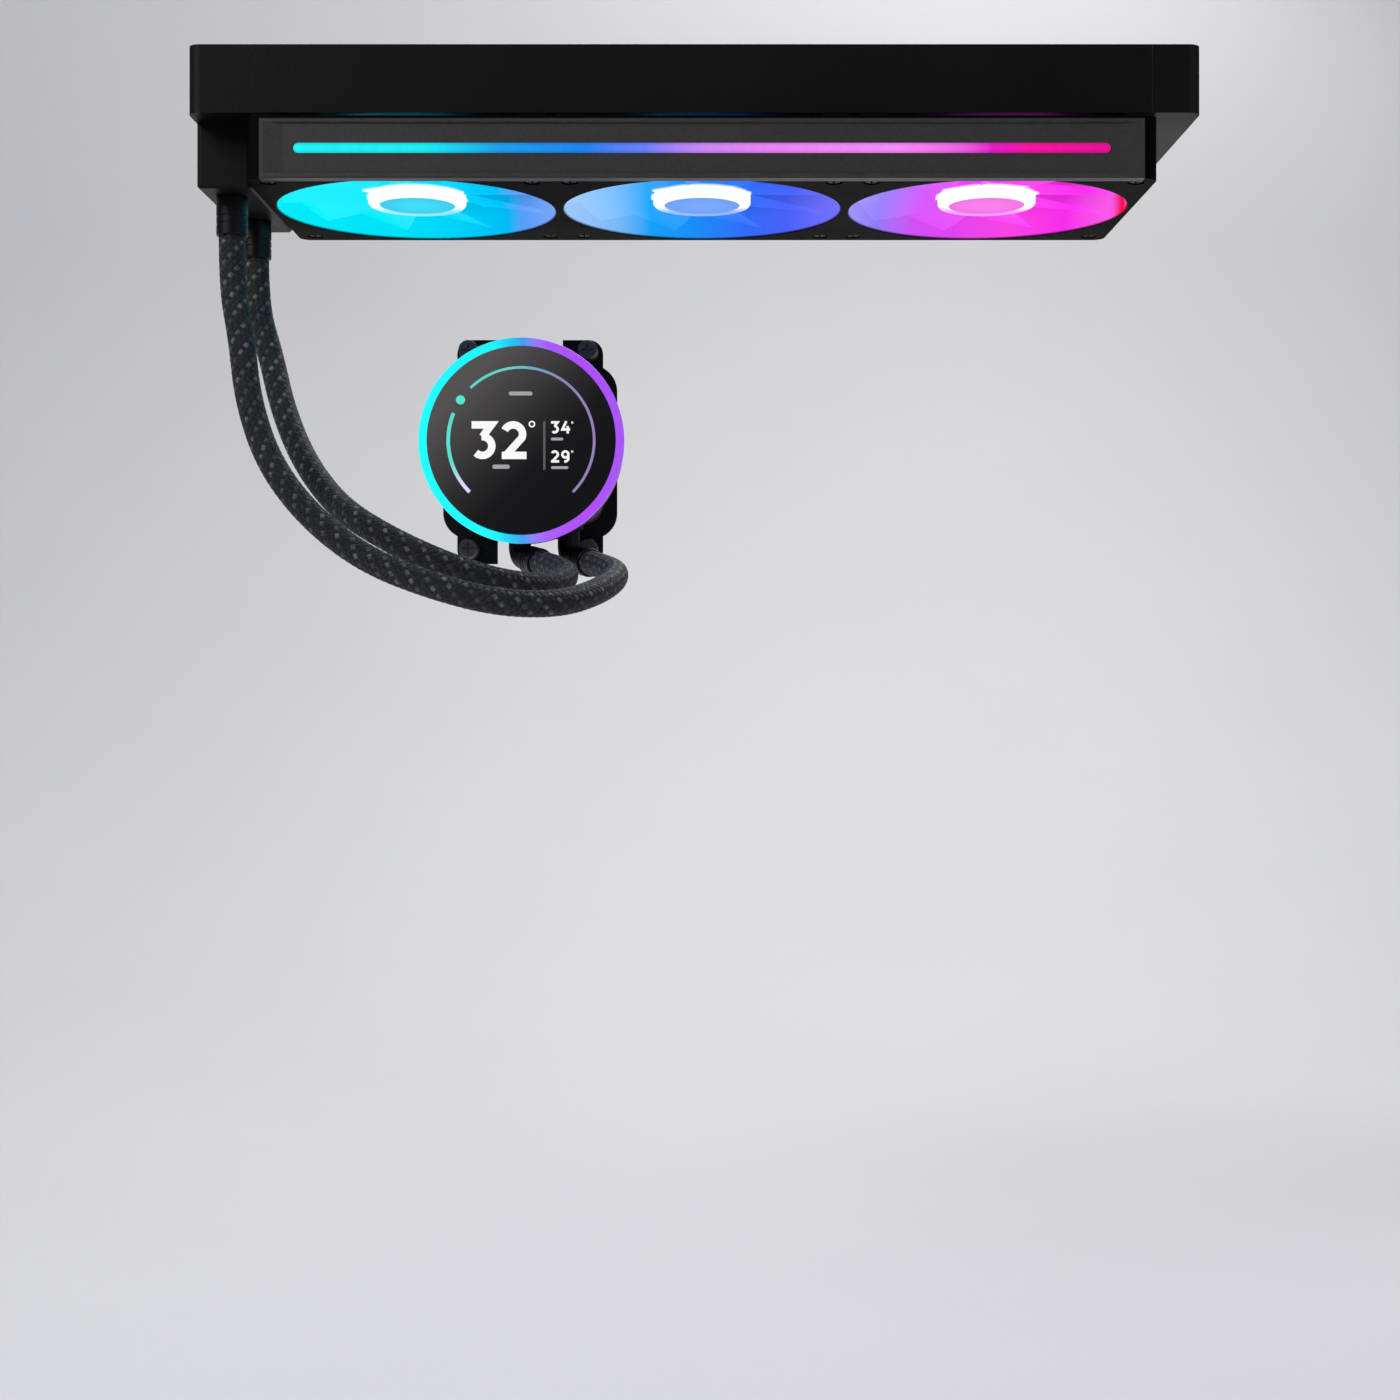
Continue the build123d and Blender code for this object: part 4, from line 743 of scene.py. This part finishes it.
# Each figure's strokes in a box 0.71 wide and 1 high.
FIGURE_STROKE = 0.195
FIGURES = {
    "3": [[(0.05, 0.902), (0.57, 0.902), (0.335, 0.590)],
          arc((0.335, 0.345), 0.247, 96, -134)],
    "2": [arc((0.350, 0.655), 0.247, 154, -22) + [(0.19, 0.130)],
          [(0.05, 0.098), (0.70, 0.098)]],
    "4": [[(0.43, 1.0), (0.115, 0.330), (0.74, 0.330)], [(0.54, 0.60), (0.54, 0.0)]],
    "9": [arc((0.350, 0.660), 0.243, 0, 360, 28),
          [(0.593, 0.660)] + arc((0.33, 0.36), 0.263, 22, -104)],
}


def figures(text, left, top, height, pitch):
    """Strokes for a row of figures, from the upper left corner of the first."""
    strokes = []
    for place, figure in enumerate(text):
        for line in FIGURES[figure]:
            moved = [(left + place * pitch + x * height, top - height + z * height)
                     for x, z in line]
            strokes.append((moved, FIGURE_STROKE * height))
    return strokes


def round_bar(name, bars, material):
    """Flat bars with round ends; each is (x0, x1, z, height) in millimetres."""
    points, faces = [], []
    for x0, x1, z, height in bars:
        half = height / 2
        outline = (arc((x1 - half, z), half, -90, 90, 12) + arc((x0 + half, z), half, 90, 270, 12))
        base = len(points)
        count = len(outline)
        points += [screen_point(x, up) for x, up in outline]
        points += [screen_point(x, up, SCREEN_DEPTH) for x, up in outline]
        faces.append(tuple(range(base, base + count)))
        faces.append(tuple(range(base + 2 * count - 1, base + count - 1, -1)))
        for step in range(count):
            follow = (step + 1) % count
            faces.append((base + step, base + count + step,
                          base + count + follow, base + follow))
    made = mesh_object(name, points, faces)
    dress(made, material)
    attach(made, ROOT)
    return made


GAUGE_R = 31.9
GAUGE_MARKER_ANGLE = 146.3
MAIN_FIGURES = (-22.5, 8.4, 16.6, 13.2)      # left, top, height and pitch
UPPER_FIGURES = (12.8, 8.4, 5.4, 4.6)
LOWER_FIGURES = (12.8, -4.3, 5.4, 4.6)


def make_display():
    """The readings and the gauge; all places in millimetres from the display's centre."""
    white = display_light("figure_light", srgb(250, 250, 250))
    dim = display_light("label_light", srgb(176, 176, 178), 1.0)
    faint = display_light("divider_light", srgb(84, 84, 86))
    teal = display_light("marker_light", srgb(74, 232, 204))
    gauge = gauge_light()
    stroke_mesh("main_figures", figures("32", *MAIN_FIGURES), white)
    stroke_mesh("upper_figures", figures("34", *UPPER_FIGURES), white)
    stroke_mesh("lower_figures", figures("29", *LOWER_FIGURES), white)
    degrees = [(arc((4.7, 7.1), 1.15, 0, 360, 24), 0.6), (arc((22.3, 7.8), 0.35, 0, 360, 16), 0.28),
               (arc((22.3, -4.9), 0.35, 0, 360, 16), 0.28)]
    stroke_mesh("degree_marks", degrees, white)
    stroke_mesh("divider_line", [([(10.1, 8.4), (10.1, -12.9)], 1.0)], faint)
    round_bar("word_bars", [(-12.6, -5.0, -11.5, 1.8), (13.0, 18.4, 0.6, 1.2),
                            (13.0, 20.6, -11.9, 1.2), (-5.4, 4.9, 20.5, 1.7)], dim)
    stroke_mesh("gauge_left", [(arc((0, 0), GAUGE_R, 225, 158, 40), 1.6)], gauge)
    stroke_mesh("gauge_right", [(arc((0, 0), GAUGE_R, 134, -45, 90), 1.15)], gauge)
    across, up = arc((0, 0), GAUGE_R, GAUGE_MARKER_ANGLE, GAUGE_MARKER_ANGLE, 1)[0]
    round_bar("gauge_marker", [(across - 2.0, across + 2.0, up, 4.0)], teal)


make_display()


# --- materials on the CAD nodes ---

def dress_nodes():
    """Give each CAD node the material its slot asks for."""
    bar = moulded_plastic("bar_plastic", srgb(50, 49, 49), srgb(98, 98, 100), 0.42, grain=1700.0)
    pump = moulded_plastic("pump_plastic", srgb(19, 19, 21), srgb(54, 54, 57), 0.5, gloss=0.2)
    socket = moulded_plastic("socket_plastic", srgb(15, 15, 17), srgb(52, 52, 54), 0.45)
    white = moulded_plastic("white_plastic", srgb(214, 214, 208), srgb(240, 240, 238), 0.4)
    ceramic = moulded_plastic("ceramic", srgb(236, 234, 226), srgb(250, 250, 248), 0.15)
    coat = powder_coat("radiator_coat", srgb(12, 12, 13), srgb(50, 50, 53))
    steel_coat = powder_coat("steel_coat", srgb(21, 21, 23), srgb(88, 88, 90), 0.4)
    tube_metal = bare_metal("tube_metal", srgb(52, 52, 56), 0.4, (20, 2400, 2400))
    fin_metal = bare_metal("fin_metal", srgb(64, 64, 70), 0.45, (2400, 2400, 20))
    fitting_metal = bare_metal("fitting_metal", srgb(120, 122, 128), 0.3)
    screw_metal = bare_metal("screw_metal", srgb(40, 40, 43), 0.4)
    black_nickel = threaded_metal("black_nickel", srgb(84, 84, 90), 0.34)
    steel = bare_metal("steel", srgb(190, 190, 194), 0.28)
    brass = bare_metal("brass", srgb(214, 176, 96), 0.3)
    copper = bare_metal("copper", srgb(218, 138, 96), 0.24, (2600, 2600, 40), 0.000004)
    wire = bare_metal("copper_wire", srgb(196, 104, 58), 0.3, (100, 100, 5200), 0.00004)
    ferrite = bare_metal("ferrite", srgb(70, 70, 74), 0.55, (400, 400, 400))
    rubber = soft_rubber("rubber")
    board = circuit_board("circuit_board")
    lamp = lamp_face("lamp_face")
    finishes = {
        "radiator_paint": coat, "core_tube": tube_metal, "core_fin": fin_metal,
        "fitting_metal": fitting_metal, "screw_steel": screw_metal,
        "frame_plastic": frame_plastic(), "pad_rubber": rubber, "bearing_brass": brass,
        "circuit_board": board, "lamination_steel": steel, "copper_wire": wire,
        "socket_plastic": socket.material, "magnet_ferrite": ferrite, "shaft_steel": steel,
        "bar_plastic": bar.material, "strip_diffuser": strip_light(), "lamp_white": lamp,
        "display_glass": screen_glass(), "display_panel": screen_panel(),
        "ring_glow": ring_light(), "pump_plastic": pump.material,
        "impeller_plastic": white.material, "ceramic": ceramic.material, "plate_copper": copper,
        "bracket_steel": steel_coat, "spring_steel": steel, "thumbscrew_metal": black_nickel,
        "elbow_metal": steel_coat, "collar_metal": screw_metal, "hose_braid": rubber,
    }
    for number in FAN_X:
        finishes[f"fan_{number}_glow"] = fan_light(number)
    slots = {part["node"]: part["material_slot"] for part in frame["record"]["subparts"]}
    for name, node in nodes.items():
        if slots[name] == "hub_cap_plastic":
            dress(node, hub_cap_light(int(name.split("_")[1])))
        else:
            dress(node, finishes[slots[name]])


dress_nodes()


# --- studio ---

def make_stage():
    """A pale floor that curves up into a backdrop."""
    floor_z, wall_y, bend = -0.56, 1.5, 0.8
    profile = [(-3.0, floor_z), (wall_y - bend, floor_z)]
    profile += [(y, z) for y, z in arc((wall_y - bend, floor_z + bend), bend, -90, 0, 24)]
    profile.append((wall_y, 3.0))
    points = [(x, y, z) for y, z in profile for x in (-4.0, 4.0)]
    faces = [(2 * k, 2 * k + 1, 2 * k + 3, 2 * k + 2) for k in range(len(profile) - 1)]
    stage = mesh_object("backdrop", points, faces, smooth=True)
    made = Shader("backdrop_paper", srgb(206, 206, 208), 0.9)
    made.feed("Base Color", made.mix(made.noise(3, 3), srgb(204, 204, 206), srgb(210, 210, 211)))
    dress(stage, made.material)


def make_light(name, place, target, size, power):
    data = bpy.data.lights.new(name, "AREA")
    data.size = size
    data.energy = power
    light = link_object(name, data)
    light.location = place
    light.rotation_euler = (Vector(target) - Vector(place)).to_track_quat("-Z", "Y").to_euler()


def make_lights():
    """Soft key, fill and back lights, all aimed at the middle of the cooler."""
    centre = (-0.05, 0.0, -0.12)
    make_light("key_light", (-1.4, -1.4, 1.2), centre, 1.2, 40)
    make_light("fill_light", (1.6, -1.2, 0.2), centre, 1.4, 6)
    make_light("back_light", (0.4, 1.1, 1.1), centre, 1.0, 24)
    world = bpy.data.worlds.new("studio")
    world.use_nodes = True
    world.node_tree.nodes["Background"].inputs["Color"].default_value = (0.9, 0.92, 1.0, 1.0)
    world.node_tree.nodes["Background"].inputs["Strength"].default_value = 0.22
    bpy.context.scene.world = world


make_stage()
make_lights()
bpy.context.scene.view_settings.view_transform = "Standard"
